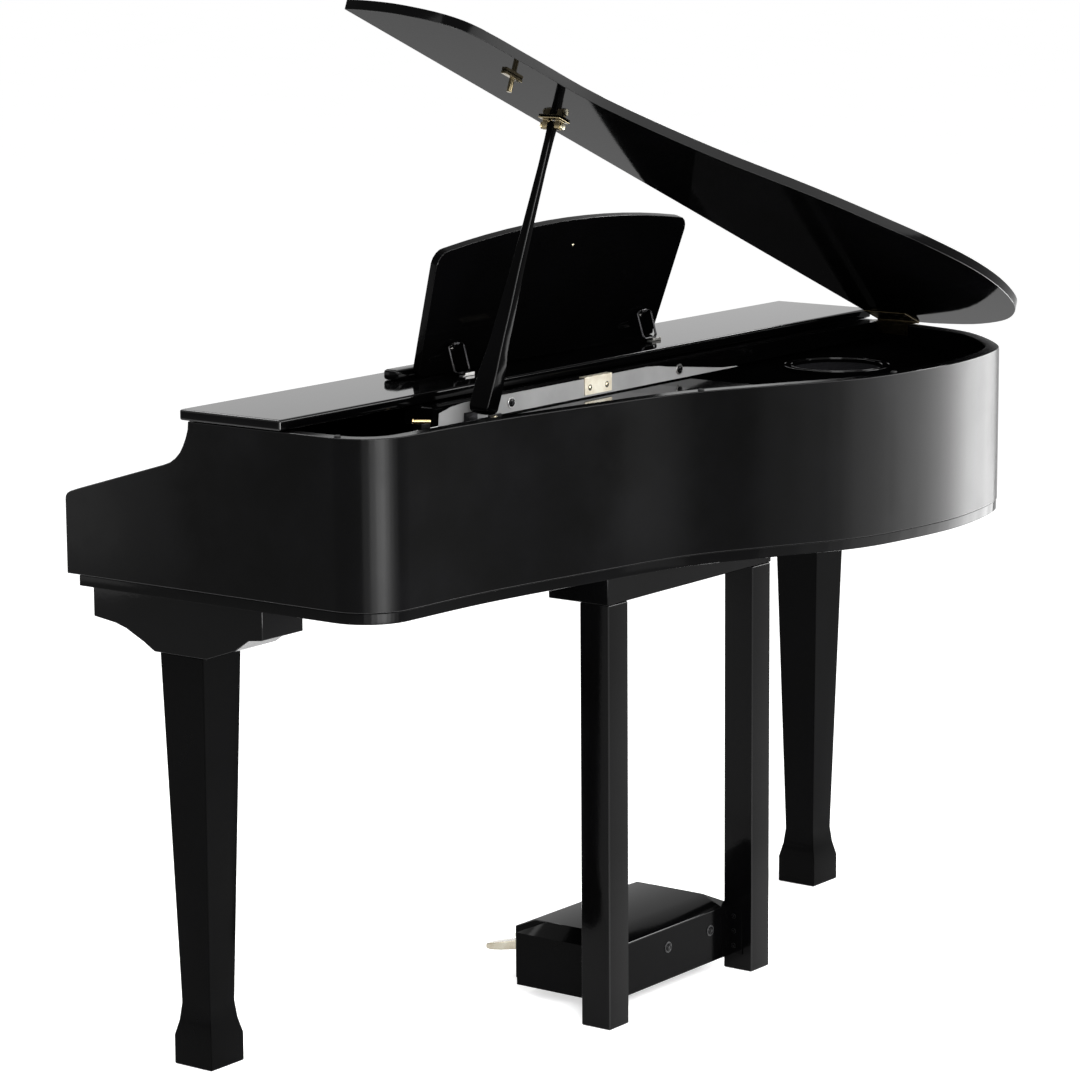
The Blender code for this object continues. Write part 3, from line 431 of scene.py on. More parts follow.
def add_bar(shape, start, end, radius):
    """Adds a round bar between two points, its ends eased."""
    sides, rounding = 20, 0.0004
    along = Vector(end) - Vector(start)
    long = along.length
    tip = radius - rounding
    profile = [(tip, 0.0), (radius, rounding), (radius, long - rounding), (tip, long)]
    add_turned(shape, profile, start, along.normalized(), sides)


def cross_screws(name, places, normal, radius, finish, body="case", high=None):
    """Domed screws, all on faces with the same normal; each one's countersink and cross recess are painted
    shade: a black disc round the head and black bars on the dome.
    """
    heads, recess_shading = bmesh.new(), bmesh.new()
    high = high or radius * 0.45
    rise = min(0.0002, high * 0.4)
    profile = [(radius, rise), (radius * 0.97, high * 0.45), (radius * 0.75, high * 0.85),
               (radius * 0.4, high), (0.0, high * 1.02)]
    turn = UP.rotation_difference(Vector(normal)).to_matrix()
    for i, place in enumerate(places):
        add_turned(heads, profile, place, normal)
        # Painted shade: a black disc under the head for the countersink, black bars on the dome for the
        # cross recess
        sink = radius * 1.22
        add_turned(recess_shading, [(sink, 0.0), (sink, rise), (0.0, rise * 1.25)], place, normal)
        spin = Matrix.Rotation(0.5 + 1.1 * i, 3, "Z")
        for long, wide in ((radius * 0.62, radius * 0.14), (radius * 0.14, radius * 0.62)):
            made = add_block(recess_shading, (-long, -wide, high * 0.6), (long, wide, high * 1.08))
            for vert in made:
                vert.co = Vector(place) + turn @ (spin @ vert.co)
    new_piece(name, heads, finish, body)
    new_piece(name + "_painted_recesses", recess_shading, BLACK_METAL, body, weighted=False)


def socket_bolts(name, places, normal, radius, washer):
    """Black socket-head bolts: a washer, a dark groove, a domed head, and a dark hexagonal disc on the head
    that is the socket's painted shade.
    """
    rings, heads, socket_shades = bmesh.new(), bmesh.new(), bmesh.new()
    ring = [(1.00, 0.0), (1.00, 0.0008), (0.95, 0.0013), (0.82, 0.0013), (0.78, 0.0006), (0.0, 0.0006)]
    head = [(0.70, 0.0007), (0.70, 0.0018), (0.62, 0.0026), (0.38, 0.0031), (0.34, 0.0027), (0.0, 0.0026)]
    # Painted shade: the socket is a dark hexagonal disc laid on the head, not a recess
    socket = [(0.30, 0.0026), (0.30, 0.0029), (0.22, 0.00275), (0.0, 0.0027)]
    for place in places:
        for shape, profile, sides in ((rings, ring, 36), (heads, head, 36), (socket_shades, socket, 6)):
            add_turned(shape, [(radius * share, high) for share, high in profile], place, normal, sides)
    new_piece(name + "_washers", rings, washer, "case")
    new_piece(name, heads, BRIGHT_SHEEN_LACQUER, "case")
    new_piece(name + "_sockets", socket_shades, WIRE, "case", weighted=False)


# The case and its fittings

AS_DRAWN = (0.0, 0)

# Each node's edge radius in metres and the segments of its rounding
CASE_NODES = {
    "rim": (0.0012, 3), "bottom_board": (0.0012, 2), "cheek_block_treble": (0.0012, 3),
    "cheek_block_bass": (0.0012, 3), "front_flap": AS_DRAWN, "soundboard": (0.0010, 2),
    "bay_floor": (0.0010, 2), "speaker_ring": AS_DRAWN, "speaker_driver": AS_DRAWN,
    "key_frame": (0.0008, 2), "key_cover": (0.0016, 3), "lid_hinge_lower": (0.0004, 2),
    "lid": AS_DRAWN, "lid_hinge_upper": (0.0004, 2), "prop_head_bracket": (0.0018, 3),
    "lid_striker": (0.0005, 2), "prop_foot_bracket": (0.0006, 2), "lid_prop": AS_DRAWN,
    "music_desk": AS_DRAWN, "desk_ledge": AS_DRAWN, "leg_treble": AS_DRAWN, "leg_bass": AS_DRAWN,
    "leg_bracket_treble": AS_DRAWN, "leg_bracket_bass": AS_DRAWN, "lyre_post_treble": AS_DRAWN,
    "lyre_post_bass": AS_DRAWN, "pedal_box": (0.0014, 3), "pedal_strap_treble": (0.0006, 2),
    "pedal_strap_bass": (0.0006, 2), "pedal_soft": AS_DRAWN, "pedal_sostenuto": AS_DRAWN,
    "pedal_damper": AS_DRAWN, "desk_stay_treble": AS_DRAWN, "desk_stay_bass": AS_DRAWN,
    "volume_knob": AS_DRAWN,
}
# The angle under which faces are shaded as one curve
ROUNDED_SMOOTH = 35.0
DRAWN_SMOOTH = 58.0


def dress_nodes():
    for name, (width, segments) in CASE_NODES.items():
        dress(name, width, segments, ROUNDED_SMOOTH if width else DRAWN_SMOOTH)


def paint_side(name, finish, normal):
    """Gives the faces of a piece that look one way a lacquer of their own."""
    mesh = bpy.data.objects[name + "_finished"].data
    mesh.materials.append(finish)
    for face in mesh.polygons:
        face.material_index = 1 if face.normal.dot(normal) > 0.9 else 0


def paint_edge_highlights(name, width=0.0024):
    """Painted highlights: the narrow faces along a piece's rounded edges get a glossier copy of the
    lacquer, which shines brighter than the faces beside them.
    """
    mesh = bpy.data.objects[name + "_finished"].data
    mesh.materials.append(EDGE_HIGHLIGHT_LACQUER)
    last = len(mesh.materials) - 1
    for face in mesh.polygons:
        corners = [mesh.vertices[i].co for i in face.vertices]
        longest = max((a - b).length for a, b in zip(corners, corners[1:] + corners[:1]))
        if face.area < width * longest:
            face.material_index = last


# Painted shade: the x places of the steps, and ever duller copies of the soundboard's lacquer beyond them
BOARD_SHADE_STEPS = (0.00, -0.08, -0.16)
BOARD_SHADED = [lacquer(f"black_lacquer_board_{i}", level, 0.06 + 0.04 * i, 0.0012)
              for i, level in enumerate((0.07, 0.03, 0.0))]


def shade_board_in_steps():
    """Painted shade: the soundboard's reflections are dimmed in steps towards the tail, where the lacquer
    has no gloss and stays black.
    """
    mesh = bpy.data.objects["soundboard_finished"].data
    shape = bmesh.new()
    shape.from_mesh(mesh)
    for x in BOARD_SHADE_STEPS:
        everything = shape.verts[:] + shape.edges[:] + shape.faces[:]
        bmesh.ops.bisect_plane(shape, geom=everything, plane_co=(x, 0, 0), plane_no=(1, 0, 0))
    for face in shape.faces:
        face.material_index = sum(face.calc_center_median().x < x for x in BOARD_SHADE_STEPS)
    shape.to_mesh(mesh)
    shape.free()
    for finish in BOARD_SHADED:
        mesh.materials.append(finish)


# The rear face of the cross board, and as (x, z) the outline of a light grey band on it, laid only where
# the board looks bright; its slanted ends are painted shade, following where shade cuts the bright part off
CROSS_FACE = 0.4145
BAND_FACES = (CROSS_FACE + 0.0001, CROSS_FACE + 0.0006)
BAND_OUTLINE = [
    (0.4180, 0.8640), (0.4160, 0.8815), (0.3903, 0.8872), (0.3600, 0.8897), (-0.0600, 0.8897),
    (-0.0910, 0.8875), (-0.1158, 0.8836), (-0.2505, 0.8671), (-0.2900, 0.8652), (-0.2900, 0.8640)]
CROSS_BOLTS = [(0.258, 0.8770), (-0.141, 0.8770)]

LOCK_X = (0.026, 0.090)
LOCK_REAR = CROSS_FACE + 0.0022
LOCK_SCREWS = [(0.038, 0.8765), (0.078, 0.8765)]

BUMPERS = [(0.690, 0.467), (0.090, 0.6125), (-0.206, 0.7365)]
BUMPER_BASE = 0.8900
BUMPER_PROFILE = [(0.0045, 0.0), (0.0045, 0.0012), (0.0036, 0.0021), (0.0, 0.0022)]

ROD_TIP = (0.4521, 0.4015, 0.8740)
ROD_ROOT = (0.4395, 0.4195, 0.8740)
ROD_RADIUS = 0.0026
ROD_KNOB = [(0.0030, 0.0), (0.0038, 0.0008), (0.0038, 0.0022), (0.0024, 0.0032), (0.0, 0.0034)]
ROD_DIRECTION = (0.572, -0.82, 0)


def add_cross_board_fittings():
    """The light grey band, its ends cut along painted edges of shade, the lock plate folded over the
    board's top edge, and their screws and bolts.
    """
    plate = bmesh.new()
    add_prism(plate, *([at(x, face, z) for x, z in BAND_OUTLINE] for face in BAND_FACES))
    new_piece("cross_board_grey_band", plate, GREY_BAND, "case", weighted=False)
    left, right = LOCK_X
    lock = bmesh.new()
    add_block(lock, at(left, BAND_FACES[1], 0.8665), at(right, LOCK_REAR, 0.8873))
    add_block(lock, at(left, CROSS_FACE - 0.0080, 0.8906), at(right, LOCK_REAR, 0.8918))
    add_block(lock, at(left, BAND_FACES[1], 0.8868), at(right, LOCK_REAR, 0.8915))
    soften(lock, 0.0004, 2)
    new_piece("lock_plate", lock, PLATE_BRASS, "case")
    places = [at(x, CROSS_FACE + 0.0021, z) for x, z in LOCK_SCREWS]
    cross_screws("lock_plate_screws", places, (0, 1, 0), 0.0036, PALE_BRASS)
    places = [at(x, BAND_FACES[1], z) for x, z in CROSS_BOLTS]
    socket_bolts("cross_board_bolts", places, (0, 1, 0), 0.0080, STEEL)


def add_case_fittings():
    """The bumpers under the lid, the catch in the treble bay and the felt behind the keys."""
    bumpers = bmesh.new()
    for x, y in BUMPERS:
        add_turned(bumpers, BUMPER_PROFILE, at(x, y, BUMPER_BASE), UP)
    new_piece("rim_bumpers", bumpers, RUBBER, "case")
    rod = bmesh.new()
    add_bar(rod, at(*ROD_TIP), at(*ROD_ROOT), ROD_RADIUS)
    add_turned(rod, ROD_KNOB, at(*ROD_TIP), ROD_DIRECTION)
    new_piece("bay_catch_rod", rod, BRASS, "case")
    block("bay_catch_bracket", at(0.4306, 0.3965, 0.8625), at(0.4500, 0.4120, 0.8708), BLACK_METAL)
    block("panel_felt", at(-0.602, 0.1886, 0.7376), at(0.602, 0.1898, 0.7488), RED_FELT, 0.0003)


BEAD_RADIUS = 0.0010
BEADS_INSIDE_RING = (0.0015, 0.0115)


def add_speaker_trim():
    """Two thin beads round the speaker ring, near its outer and its inner edge."""
    low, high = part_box("speaker_ring")
    middle = (Vector(low) + Vector(high)) / 2
    outer = (high[0] - low[0]) / 2
    sides, facets = 96, 10
    beads = bmesh.new()
    for inset in BEADS_INSIDE_RING:
        radius = outer - inset
        rings = []
        for i in range(sides):
            angle = 2 * math.pi * i / sides
            out = Vector((math.cos(angle), math.sin(angle), 0.0))
            ring = []
            for k in range(facets):
                turn = 2 * math.pi * k / facets
                spot = middle + out * (radius + BEAD_RADIUS * math.cos(turn))
                spot.z = high[2] + BEAD_RADIUS * math.sin(turn)
                ring.append(beads.verts.new(spot))
            rings.append(ring)
        for ring, after in zip(rings, rings[1:] + rings[:1]):
            for k in range(facets):
                j = (k + 1) % facets
                beads.faces.new((ring[k], ring[j], after[j], after[k]))
    # Painted highlight: the beads carry the glossier edge copy of the lacquer
    new_piece("speaker_beads", beads, EDGE_HIGHLIGHT_LACQUER, "case", weighted=False)


KNUCKLES = 7
KNUCKLES_Y = (0.4040, 0.4775)
KNUCKLE_RADIUS = 0.0024
LID_SCREWS_X = (-0.6820, -0.6620)
LID_SCREWS_Y = (0.4120, 0.4330, 0.4540, 0.4710)
LID_SCREWS_Z = 0.8912
CASE_SCREWS = [(-0.6762, 0.414, 0.8820), (-0.6738, 0.438, 0.8820), (-0.6690, 0.462, 0.8820)]
CASE_SCREWS_NORMAL = (0.985, -0.17, 0)


def add_hinge_detail():
    """Knuckles, alternately on the case and the lid, and the screws of both leaves."""
    start, end = KNUCKLES_Y
    step = (end - start) / KNUCKLES
    gap = 0.0003
    sets = {"case": bmesh.new(), "lid_body": bmesh.new()}
    for k in range(KNUCKLES):
        shape = sets["case" if k % 2 == 0 else "lid_body"]
        near, far = start + step * k + gap, start + step * (k + 1) - gap
        add_bar(shape, at(LID_AXIS.x, near, LID_AXIS.z), at(LID_AXIS.x, far, LID_AXIS.z), KNUCKLE_RADIUS)
    for body, shape in sets.items():
        new_piece(f"hinge_knuckles_{body}", shape, DARK_BRASS, body)
    places = []
    for x in LID_SCREWS_X:
        for y in LID_SCREWS_Y:
            shut = Vector((x - LID_AXIS.x, 0.0, LID_SCREWS_Z - LID_AXIS.z))
            places.append(at(LID_AXIS.x, y, LID_AXIS.z) + LID_TURN @ shut)
    cross_screws("hinge_screws_lid", places, LID_TURN @ -UP, 0.0028, PALE_BRASS, "lid_body", 0.00020)
    places = [at(*place) for place in CASE_SCREWS]
    cross_screws("hinge_screws_case", places, CASE_SCREWS_NORMAL, 0.0026, PALE_BRASS)


PIN_RADIUS = 0.0032
PIN_HALF = 0.0185
PIN_CAP = [(0.0046, 0.0), (0.0050, 0.0008), (0.0044, 0.0022), (0.0, 0.0030)]
PIN_CAP_OUT = 0.0165
FOOT_PLACE = (0.3560, 0.440, 0.8715)
FOOT_CAP = [(0.0042, 0.0), (0.0042, 0.0022), (0.0030, 0.0034), (0.0, 0.0037)]
FOOT_CAP_OUT = 0.0218


def add_prop_fittings():
    """The pin through the prop's head and the two studs of its foot bracket."""
    pin, feet = bmesh.new(), bmesh.new()
    reach = Vector((0, PIN_HALF, 0))
    add_bar(pin, PROP_PIVOT - reach, PROP_PIVOT + reach, PIN_RADIUS)
    for side in (-1, 1):
        outwards = Vector((0, side, 0))
        add_turned(pin, PIN_CAP, PROP_PIVOT + outwards * PIN_CAP_OUT, outwards)
        add_turned(feet, FOOT_CAP, at(*FOOT_PLACE) + outwards * FOOT_CAP_OUT, outwards)
    new_piece("prop_head_pin", pin, PALE_BRASS, "lid_body")
    new_piece("prop_foot_pins", feet, PALE_BRASS, "case")


DESK_LEAN = math.radians(17.0)
DESK_UP = Vector((0, math.sin(DESK_LEAN), math.cos(DESK_LEAN)))
DESK_BACK = Vector((0, math.cos(DESK_LEAN), -math.sin(DESK_LEAN)))
DESK_SCREW = (0.025, 0.167)
CLIP_HALF = 0.0060
CLIP_RADIUS = 0.0029


def on_desk(x, height, out=0.0):
    """A place on the back of the leaning desk."""
    return Vector((x, DESK_FOOT.y, DESK_FOOT.z)) + DESK_UP * height + DESK_BACK * out


def add_desk_fittings():
    """The screw in the desk's back, the clips that hold the stays' heads, and the rests at their feet."""
    cross_screws("desk_screw", [on_desk(*DESK_SCREW)], DESK_BACK, 0.0024, PALE_BRASS, "desk_body")
    clips, rests = bmesh.new(), bmesh.new()
    places = []
    for barrel in STAY_HEADS:
        height = (barrel - on_desk(0.0, 0.0)).dot(DESK_UP)
        made = add_block(clips, (-CLIP_HALF, 0.0, -0.0050), (CLIP_HALF, 0.0008, 0.0050))
        for vert in made:
            vert.co = on_desk(barrel.x + vert.co.x, height - 0.0070 + vert.co.z, vert.co.y)
        places.append(on_desk(barrel.x, height - 0.0085, 0.0008))
    soften(clips, 0.0003, 2)
    for barrel in STAY_HEADS:
        reach = Vector((CLIP_HALF, 0, 0))
        add_bar(clips, barrel - reach, barrel + reach, CLIP_RADIUS)
    new_piece("stay_clips", clips, BLACK_METAL, "desk_body")
    cross_screws("stay_clip_screws", places, DESK_BACK, 0.0019, STEEL, "desk_body")
    for barrel in STAY_HEADS:
        left = barrel.x - 0.022
        add_block(rests, at(left, 0.3260, 0.9061), at(barrel.x + 0.004, 0.3335, 0.9072))
        add_block(rests, at(left, 0.3318, 0.9068), at(barrel.x - 0.002, 0.3335, 0.9105))
    soften(rests, 0.0004, 2)
    new_piece("stay_rests", rests, STEEL, "case")


PEDAL_BOX_BOLTS = [(0.019, 0.5070, 0.0700), (-0.087, 0.5070, 0.0700)]
# Each cap's bass and treble faces (x), and the outline of its higher, inner face as (y, z)
END_CAPS = [(0.1361, 0.1633), (-0.1425, -0.1171)]
END_OUTLINE = [(0.3450, 0.0218), (0.5068, 0.0218), (0.5068, 0.0983), (0.4718, 0.1132), (0.3800, 0.1132),
               (0.3450, 0.0983)]
END_EDGE = 0.0983
STRAP_FACES = {"treble": (0.1612, -1), "bass": (-0.1404, 1)}
STRAP_SCREWS_Y = 0.512
STRAP_SCREWS_Z = (0.036, 0.058, 0.080)
BOARD_SCREWS_X = (-0.150, 0.010, 0.170)
BOARD_SCREWS_Y = (0.400, 0.560)
BOARD_UNDERSIDE = 0.6500
PEDALS_MIDDLE = 0.0095
PEDAL_STEP = 0.07
FELT_HALF = 0.0160


def add_pedal_box_ends():
    """The sloped caps that close the pedal box towards its straps, low on their outer side."""
    ends = bmesh.new()
    for left, right in END_CAPS:
        part = bmesh.new()
        treble = left > 0
        near = [at(left, y, z if treble else min(z, END_EDGE)) for y, z in END_OUTLINE]
        far = [at(right, y, min(z, END_EDGE) if treble else z) for y, z in END_OUTLINE]
        add_prism(part, near, far)
        soften(part, 0.0010, 2)
        merge(ends, part)
    new_piece("pedal_box_ends", ends, LEG_LACQUER, "case")


def add_lyre_fittings():
    """Bolts, caps, screws and felts of the pedal box and its straps, and the screws under the case."""
    places = [at(*place) for place in PEDAL_BOX_BOLTS]
    socket_bolts("pedal_box_bolts", places, (0, 1, 0), 0.0080, PLASTIC)
    add_pedal_box_ends()
    for side, (face, sign) in STRAP_FACES.items():
        places = [at(face, STRAP_SCREWS_Y, z) for z in STRAP_SCREWS_Z]
        cross_screws(f"strap_screws_{side}", places, (sign, 0, 0), 0.0032, LEG_LACQUER)
    places = [at(x, y, BOARD_UNDERSIDE) for x in BOARD_SCREWS_X for y in BOARD_SCREWS_Y]
    cross_screws("board_screws", places, -UP, 0.0035, STEEL)
    felts = bmesh.new()
    for step in (-1, 0, 1):
        x = PEDALS_MIDDLE + step * PEDAL_STEP
        add_block(felts, at(x - FELT_HALF, 0.3216, 0.0395), at(x + FELT_HALF, 0.3222, 0.0418))
    new_piece("pedal_felts", felts, RED_FELT, "case", weighted=False)


# Keyboard

WHITE_COUNT = 52
KEY_WIDTH = 1.222 / WHITE_COUNT
KEYS_LEFT = -0.611
KEY_GAP = 0.001
KEY_FRONT = 0.036
KEY_NECK = 0.085
KEY_REAR = 0.290
KEY_BOTTOM = 0.7165
KEY_TOP = 0.7350
CORNER = 0.0012
# How far a white key's tail keeps from the seam beside a black key
TAIL_INSET = 0.00575
BLACK_FOOT = (0.0049, 0.0862, 0.7345)
BLACK_CROWN = (0.0044, 0.0925, 0.747)
BLACK_REAR = 0.182
LOW_RUN = range(0, 23)
OCTAVE = range(23, 30)
HIGH_RUN = range(30, WHITE_COUNT)
LETTERS = "cdefgab"


def black_after(white):
    """Whether a black key follows a white one; the first white key is an A."""
    return 0 <= white < WHITE_COUNT - 1 and LETTERS[(white + 5) % 7] in "cdfga"


def add_white(shape, white):
    """A white key: eased front corners, rounded top edges and the tail between the black keys."""
    half_gap = KEY_GAP / 2
    left = KEYS_LEFT + white * KEY_WIDTH + half_gap
    right = KEYS_LEFT + (white + 1) * KEY_WIDTH - half_gap
    tail_left = left - half_gap + TAIL_INSET if black_after(white - 1) else left
    tail_right = right + half_gap - TAIL_INSET if black_after(white) else right
    ease, part_ease = CORNER, CORNER * 0.3
    outline = [(left, KEY_FRONT + ease), (left + part_ease, KEY_FRONT + part_ease),
               (left + ease, KEY_FRONT), (right - ease, KEY_FRONT),
               (right - part_ease, KEY_FRONT + part_ease), (right, KEY_FRONT + ease), (right, KEY_NECK)]
    if tail_right < right:
        outline.append((tail_right, KEY_NECK))
    outline += [(tail_right, KEY_REAR), (tail_left, KEY_REAR)]
    if tail_left > left:
        outline.append((tail_left, KEY_NECK))
    outline.append((left, KEY_NECK))
    part = bmesh.new()
    lower = [part.verts.new(at(x, y, KEY_BOTTOM)) for x, y in outline]
    upper = [part.verts.new(at(x, y, KEY_TOP)) for x, y in outline]
    part.faces.new(lower[::-1])
    part.faces.new(upper)
    for i in range(len(outline)):
        j = (i + 1) % len(outline)
        part.faces.new((lower[i], lower[j], upper[j], upper[i]))
    top_edges = [e for e in part.edges if all(v.co.z > KEY_TOP - 0.001 for v in e.verts)]
    soften(part, 0.0007, 2, edges=top_edges)
    merge(shape, part)


def add_black(shape, x):
    """A black key: sides and front drawn in towards its top, with a soft crown."""
    part = bmesh.new()
    made = bmesh.ops.create_cube(part, size=1.0)["verts"]
    for vert in made:
        half, front, height = BLACK_CROWN if vert.co.z > 0 else BLACK_FOOT
        vert.co = at(x + math.copysign(half, vert.co.x), BLACK_REAR if vert.co.y > 0 else front, height)
    soften(part, 0.0014, 4, edges=[e for e in part.edges if max(v.co.z for v in e.verts) > 0.74])
    merge(shape, part)


def seam_after(white):
    return KEYS_LEFT + (white + 1) * KEY_WIDTH


def build_keys():
    """Single keys for both runs that the CAD joins, and for the loose octave between them."""
    for name, run in (("keys_low", LOW_RUN), ("keys_high", HIGH_RUN)):
        whites, blacks = bmesh.new(), bmesh.new()
        for white in run:
            add_white(whites, white)
            if black_after(white) and white < run[-1]:
                add_black(blacks, seam_after(white))
        piece = new_piece(name + "_white", whites, IVORY, "case")
        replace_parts(piece, name)
        new_piece(name + "_black", blacks, EBONY, "case")
    for white, letter in zip(OCTAVE, LETTERS):
        shape = bmesh.new()
        add_white(shape, white)
        piece = new_piece(f"key_{letter}_top", shape, IVORY, f"body_{letter}")
        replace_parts(piece, f"key_{letter}")
        if black_after(white) and white < OCTAVE[-1]:
            x, half = seam_after(white), BLACK_FOOT[0]
            shape = bmesh.new()
            add_black(shape, x)
            add_block(shape, at(x - half, 0.0860, KEY_BOTTOM), at(x + half, KEY_REAR, KEY_TOP - 0.0002))
            piece = new_piece(f"key_{letter}_sharp_top", shape, EBONY, f"body_{letter}_sharp")
            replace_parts(piece, f"key_{letter}_sharp")


EDGE_HIGHLIGHTED = """rim front_flap music_desk lid_prop desk_ledge lid lyre_post_treble lyre_post_bass
              leg_bracket_treble leg_bracket_bass pedal_box speaker_ring"""

finish_nodes()
dress_nodes()
# Painted shade on the lid's underside with a duller copy of the lacquer, and a painted brighter sheen on
# the flap's top with a glossier copy
paint_side("lid", LID_SHADE_LACQUER, LID_TURN @ -UP)
paint_side("front_flap", BRIGHT_SHEEN_LACQUER, UP)
# Painted shade: the speaker ring's top gets the lacquer copy without gloss
paint_side("speaker_ring", BOARD_SHADED[-1], UP)
shade_board_in_steps()
# Painted highlights along the rounded edges of these pieces
for name in EDGE_HIGHLIGHTED.split():
    paint_edge_highlights(name)
add_cross_board_fittings()
add_case_fittings()
add_speaker_trim()
add_hinge_detail()
add_prop_fittings()
add_desk_fittings()
add_lyre_fittings()
build_keys()


# Studio and camera


WHITE = (1.0, 1.0, 1.0, 1.0)
# What lifts the floor to the background's white where it is seen directly or in gloss
FLOOR_LIFT = 0.60
FLOOR_RADIUS = 40.0
FLOOR_HEIGHT = -0.0006
# The world's strength as a light, and as a background
WORLD_LIGHT = 0.50
WORLD_SEEN = 1.0


def floor_material():
    """A pale matt floor that keeps the object's shadow and ends in the white background."""
    paint = Paint("floor_paint", (0.80, 0.80, 0.80), 0.9, 0.0, 0.0)
    where = paint.place()
    tone = paint.noise(where, 3.0, 5.0, 0.6)
    paint.link(paint.ramp(tone, (0.3, (0.79, 0.79, 0.79)), (0.7, (0.81, 0.81, 0.81))), "Base Color")
    paint.shader.inputs["Emission Color"].default_value = WHITE
    rays = paint.node("ShaderNodeLightPath")
    first = paint.node("ShaderNodeMath", operation="MAXIMUM")
    paint.tree.links.new(rays.outputs["Is Camera Ray"], first.inputs[0])
    paint.tree.links.new(rays.outputs["Is Glossy Ray"], first.inputs[1])
    second = paint.node("ShaderNodeMath", operation="MAXIMUM")
    paint.tree.links.new(first.outputs[0], second.inputs[0])
    paint.tree.links.new(rays.outputs["Is Transmission Ray"], second.inputs[1])
    lift = paint.node("ShaderNodeMath", operation="MULTIPLY")
    paint.tree.links.new(second.outputs[0], lift.inputs[0])
    lift.inputs[1].default_value = FLOOR_LIFT
    paint.link(lift.outputs[0], "Emission Strength")
    return paint.material


def build_floor():
    mesh = bpy.data.meshes.new("floor")
    shape = bmesh.new()
    bmesh.ops.create_circle(shape, cap_ends=True, segments=64, radius=FLOOR_RADIUS)
    shape.to_mesh(mesh)
    shape.free()
    floor = bpy.data.objects.new("floor", mesh)
    bpy.context.scene.collection.objects.link(floor)
    floor.location = (0.0, 0.0, FLOOR_HEIGHT)
    mesh.materials.append(floor_material())


def build_world():
    """A dim white surround, which the camera and gloss see at full white."""
    world = bpy.data.worlds.new("studio")
    bpy.context.scene.world = world
    world.use_nodes = True
    tree = world.node_tree
    tree.nodes.clear()
    output = tree.nodes.new("ShaderNodeOutputWorld")
    rays = tree.nodes.new("ShaderNodeLightPath")
    seen = tree.nodes.new("ShaderNodeMath")
    seen.operation = "MAXIMUM"
    tree.links.new(rays.outputs["Is Camera Ray"], seen.inputs[0])
    tree.links.new(rays.outputs["Is Glossy Ray"], seen.inputs[1])
    through = tree.nodes.new("ShaderNodeMath")
    through.operation = "MAXIMUM"
    tree.links.new(seen.outputs[0], through.inputs[0])
    tree.links.new(rays.outputs["Is Transmission Ray"], through.inputs[1])
    strength = tree.nodes.new("ShaderNodeMapRange")
    strength.inputs["To Min"].default_value = WORLD_LIGHT
    strength.inputs["To Max"].default_value = WORLD_SEEN
    tree.links.new(through.outputs[0], strength.inputs["Value"])
    background = tree.nodes.new("ShaderNodeBackground")
    background.inputs["Color"].default_value = WHITE
    tree.links.new(strength.outputs["Result"], background.inputs["Strength"])
    tree.links.new(background.outputs[0], output.inputs[0])


def lamp(name, place, aim, width, height, radiance):
    """A soft box of that size, its power worked out from the radiance of its face."""
    data = bpy.data.lights.new(name, "AREA")
    data.shape = "RECTANGLE"
    data.size = width
    data.size_y = height
    data.energy = math.pi * width * height * radiance
    obj = bpy.data.objects.new(name, data)
    bpy.context.scene.collection.objects.link(obj)
    obj.location = place
    obj.rotation_euler = (Vector(aim) - Vector(place)).to_track_quat("-Z", "Y").to_euler()
    obj.visible_camera = False
    return obj


# Each strip's far end (x, y), and the radiance from the last end to this one
NEAR_STRIPS = [
    (0.005, 0.925, 0.0), (-0.050, 0.945, 1.6), (-0.100, 0.952, 2.6), (-0.146, 0.958, 3.8),
    (-0.178, 0.965, 5.2), (-0.218, 0.964, 6.8), (-0.257, 0.961, 7.1), (-0.303, 0.948, 7.0),
    (-0.345, 0.937, 6.9)]
TAIL_STRIPS = [
    (-0.472, 1.090, 0.0), (-0.515, 1.075, 7.1), (-0.574, 1.068, 9.5), (-0.613, 1.052, 12.0),
    (-0.659, 1.027, 14.0), (-0.710, 0.991, 16.0), (-0.765, 0.940, 17.8), (-0.818, 0.884, 17.5),
    (-0.864, 0.844, 15.0), (-0.916, 0.771, 11.0), (-0.940, 0.700, 6.0)]
CORNER_STRIPS = [
    (1.400, 0.900, 0.0), (1.240, 1.070, 4.0), (1.100, 1.190, 14.0), (0.970, 1.260, 27.0),
    (0.830, 1.305, 32.0), (0.700, 1.325, 20.0), (0.560, 1.325, 9.0), (0.420, 1.300, 3.0)]

# Each lamp's place and aim, its width and height, and the radiance of its face
LAMPS = {
    "arm_panel": ((2.13, -1.60, 0.80), (0.70, 0.05, 0.80), 0.58, 1.10, 3.6),
    "edge_light_rear": ((-3.30, 0.90, 3.10), (0.20, 0.40, 0.90), 1.60, 0.35, 22.0),
    "edge_light_front": ((0.75, -1.70, 3.20), (0.20, 0.40, 0.90), 1.80, 0.30, 16.0),
    "lid_panel": ((-0.75, 2.35, 1.36), (0.10, 0.60, 1.22), 2.20, 0.46, 9.0),
    "key_light": ((3.30, 3.10, 2.60), (0.10, 0.40, 0.80), 2.20, 1.80, 6.5),
    "keyboard_light": ((-0.90, -3.60, 2.90), (0.0, 0.10, 0.75), 2.40, 1.60, 3.6),
    "overhead": ((0.60, 1.20, 4.20), (0.0, 0.38, 0.50), 3.20, 3.20, 1.2),
}

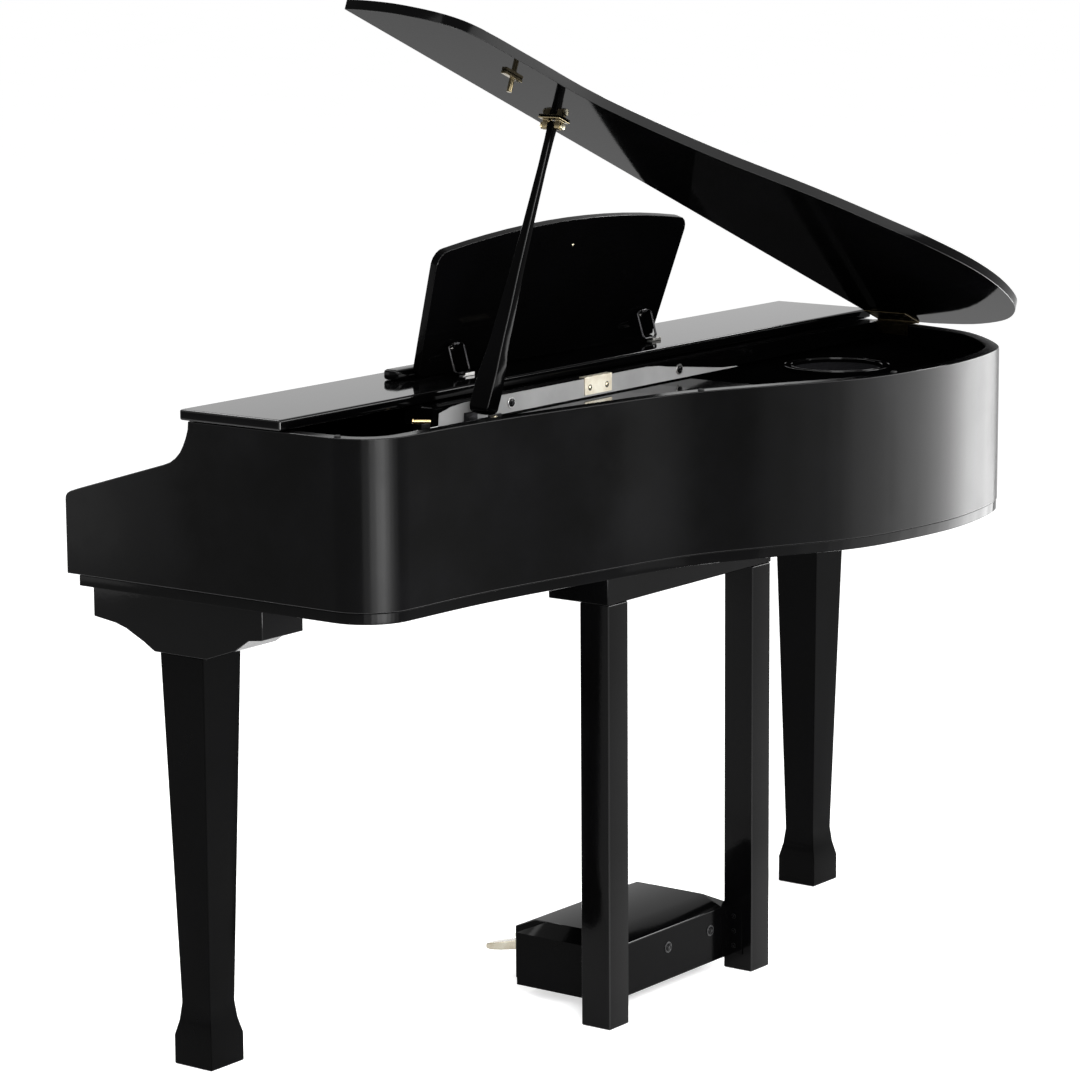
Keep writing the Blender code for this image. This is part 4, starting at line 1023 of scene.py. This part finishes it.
CAMERA_PLACE = (4.5534, 3.6864, 1.6689)
CAMERA_AIM = (0.1055, 0.3481, 0.6575)
CAMERA_ROLL = math.radians(-0.3763)
FRAME_PIXELS = 1080.0
FOCAL_PIXELS = 4013.0
SENSOR_WIDTH = 36.0
FAR_CLIP = 200.0


def light_strips(name, ends, height, tall, facing):
    """Upright strips, end to end, that face a place on the rim."""
    for i, ((x0, y0, _), (x1, y1, radiance)) in enumerate(zip(ends, ends[1:])):
        middle = at((x0 + x1) / 2, (y0 + y1) / 2, height)
        along = Vector((x1 - x0, y1 - y0, 0.0))
        across = Vector((along.y, -along.x, 0.0)).normalized()
        if across.dot(at(*facing, height) - middle) < 0:
            across.negate()
        lamp(f"{name}_{i}", middle, middle + across, along.length, tall, radiance)


def build_lamps():
    light_strips("tail_strip", TAIL_STRIPS, 0.705, 0.36, (-0.25, 0.60))
    light_strips("near_strip", NEAR_STRIPS, 0.735, 0.32, (-0.15, 0.69))
    light_strips("corner_strip", CORNER_STRIPS, 0.650, 0.40, (0.66, 0.50))
    for name, (place, aim, width, height, radiance) in LAMPS.items():
        lamp(name, at(*place), at(*aim), width, height, radiance)


def build_camera():
    """The photograph's camera, solved from the straight edges in it."""
    place, aim, roll = at(*CAMERA_PLACE), at(*CAMERA_AIM), CAMERA_ROLL
    forward = (aim - place).normalized()
    right = forward.cross(UP).normalized()
    up = right.cross(forward)
    right, up = right * math.cos(roll) + up * math.sin(roll), up * math.cos(roll) - right * math.sin(roll)
    data = bpy.data.cameras.new("camera")
    data.sensor_width = SENSOR_WIDTH
    data.lens = FOCAL_PIXELS / FRAME_PIXELS * SENSOR_WIDTH
    data.clip_end = FAR_CLIP
    camera = bpy.data.objects.new("camera", data)
    bpy.context.scene.collection.objects.link(camera)
    turn = Matrix((right, up, -forward)).transposed()
    camera.matrix_world = Matrix.Translation(place) @ turn.to_4x4()
    bpy.context.scene.camera = camera


build_floor()
build_world()
build_lamps()
build_camera()
bpy.context.scene.view_settings.view_transform = "Standard"

bpy.context.view_layer.update()
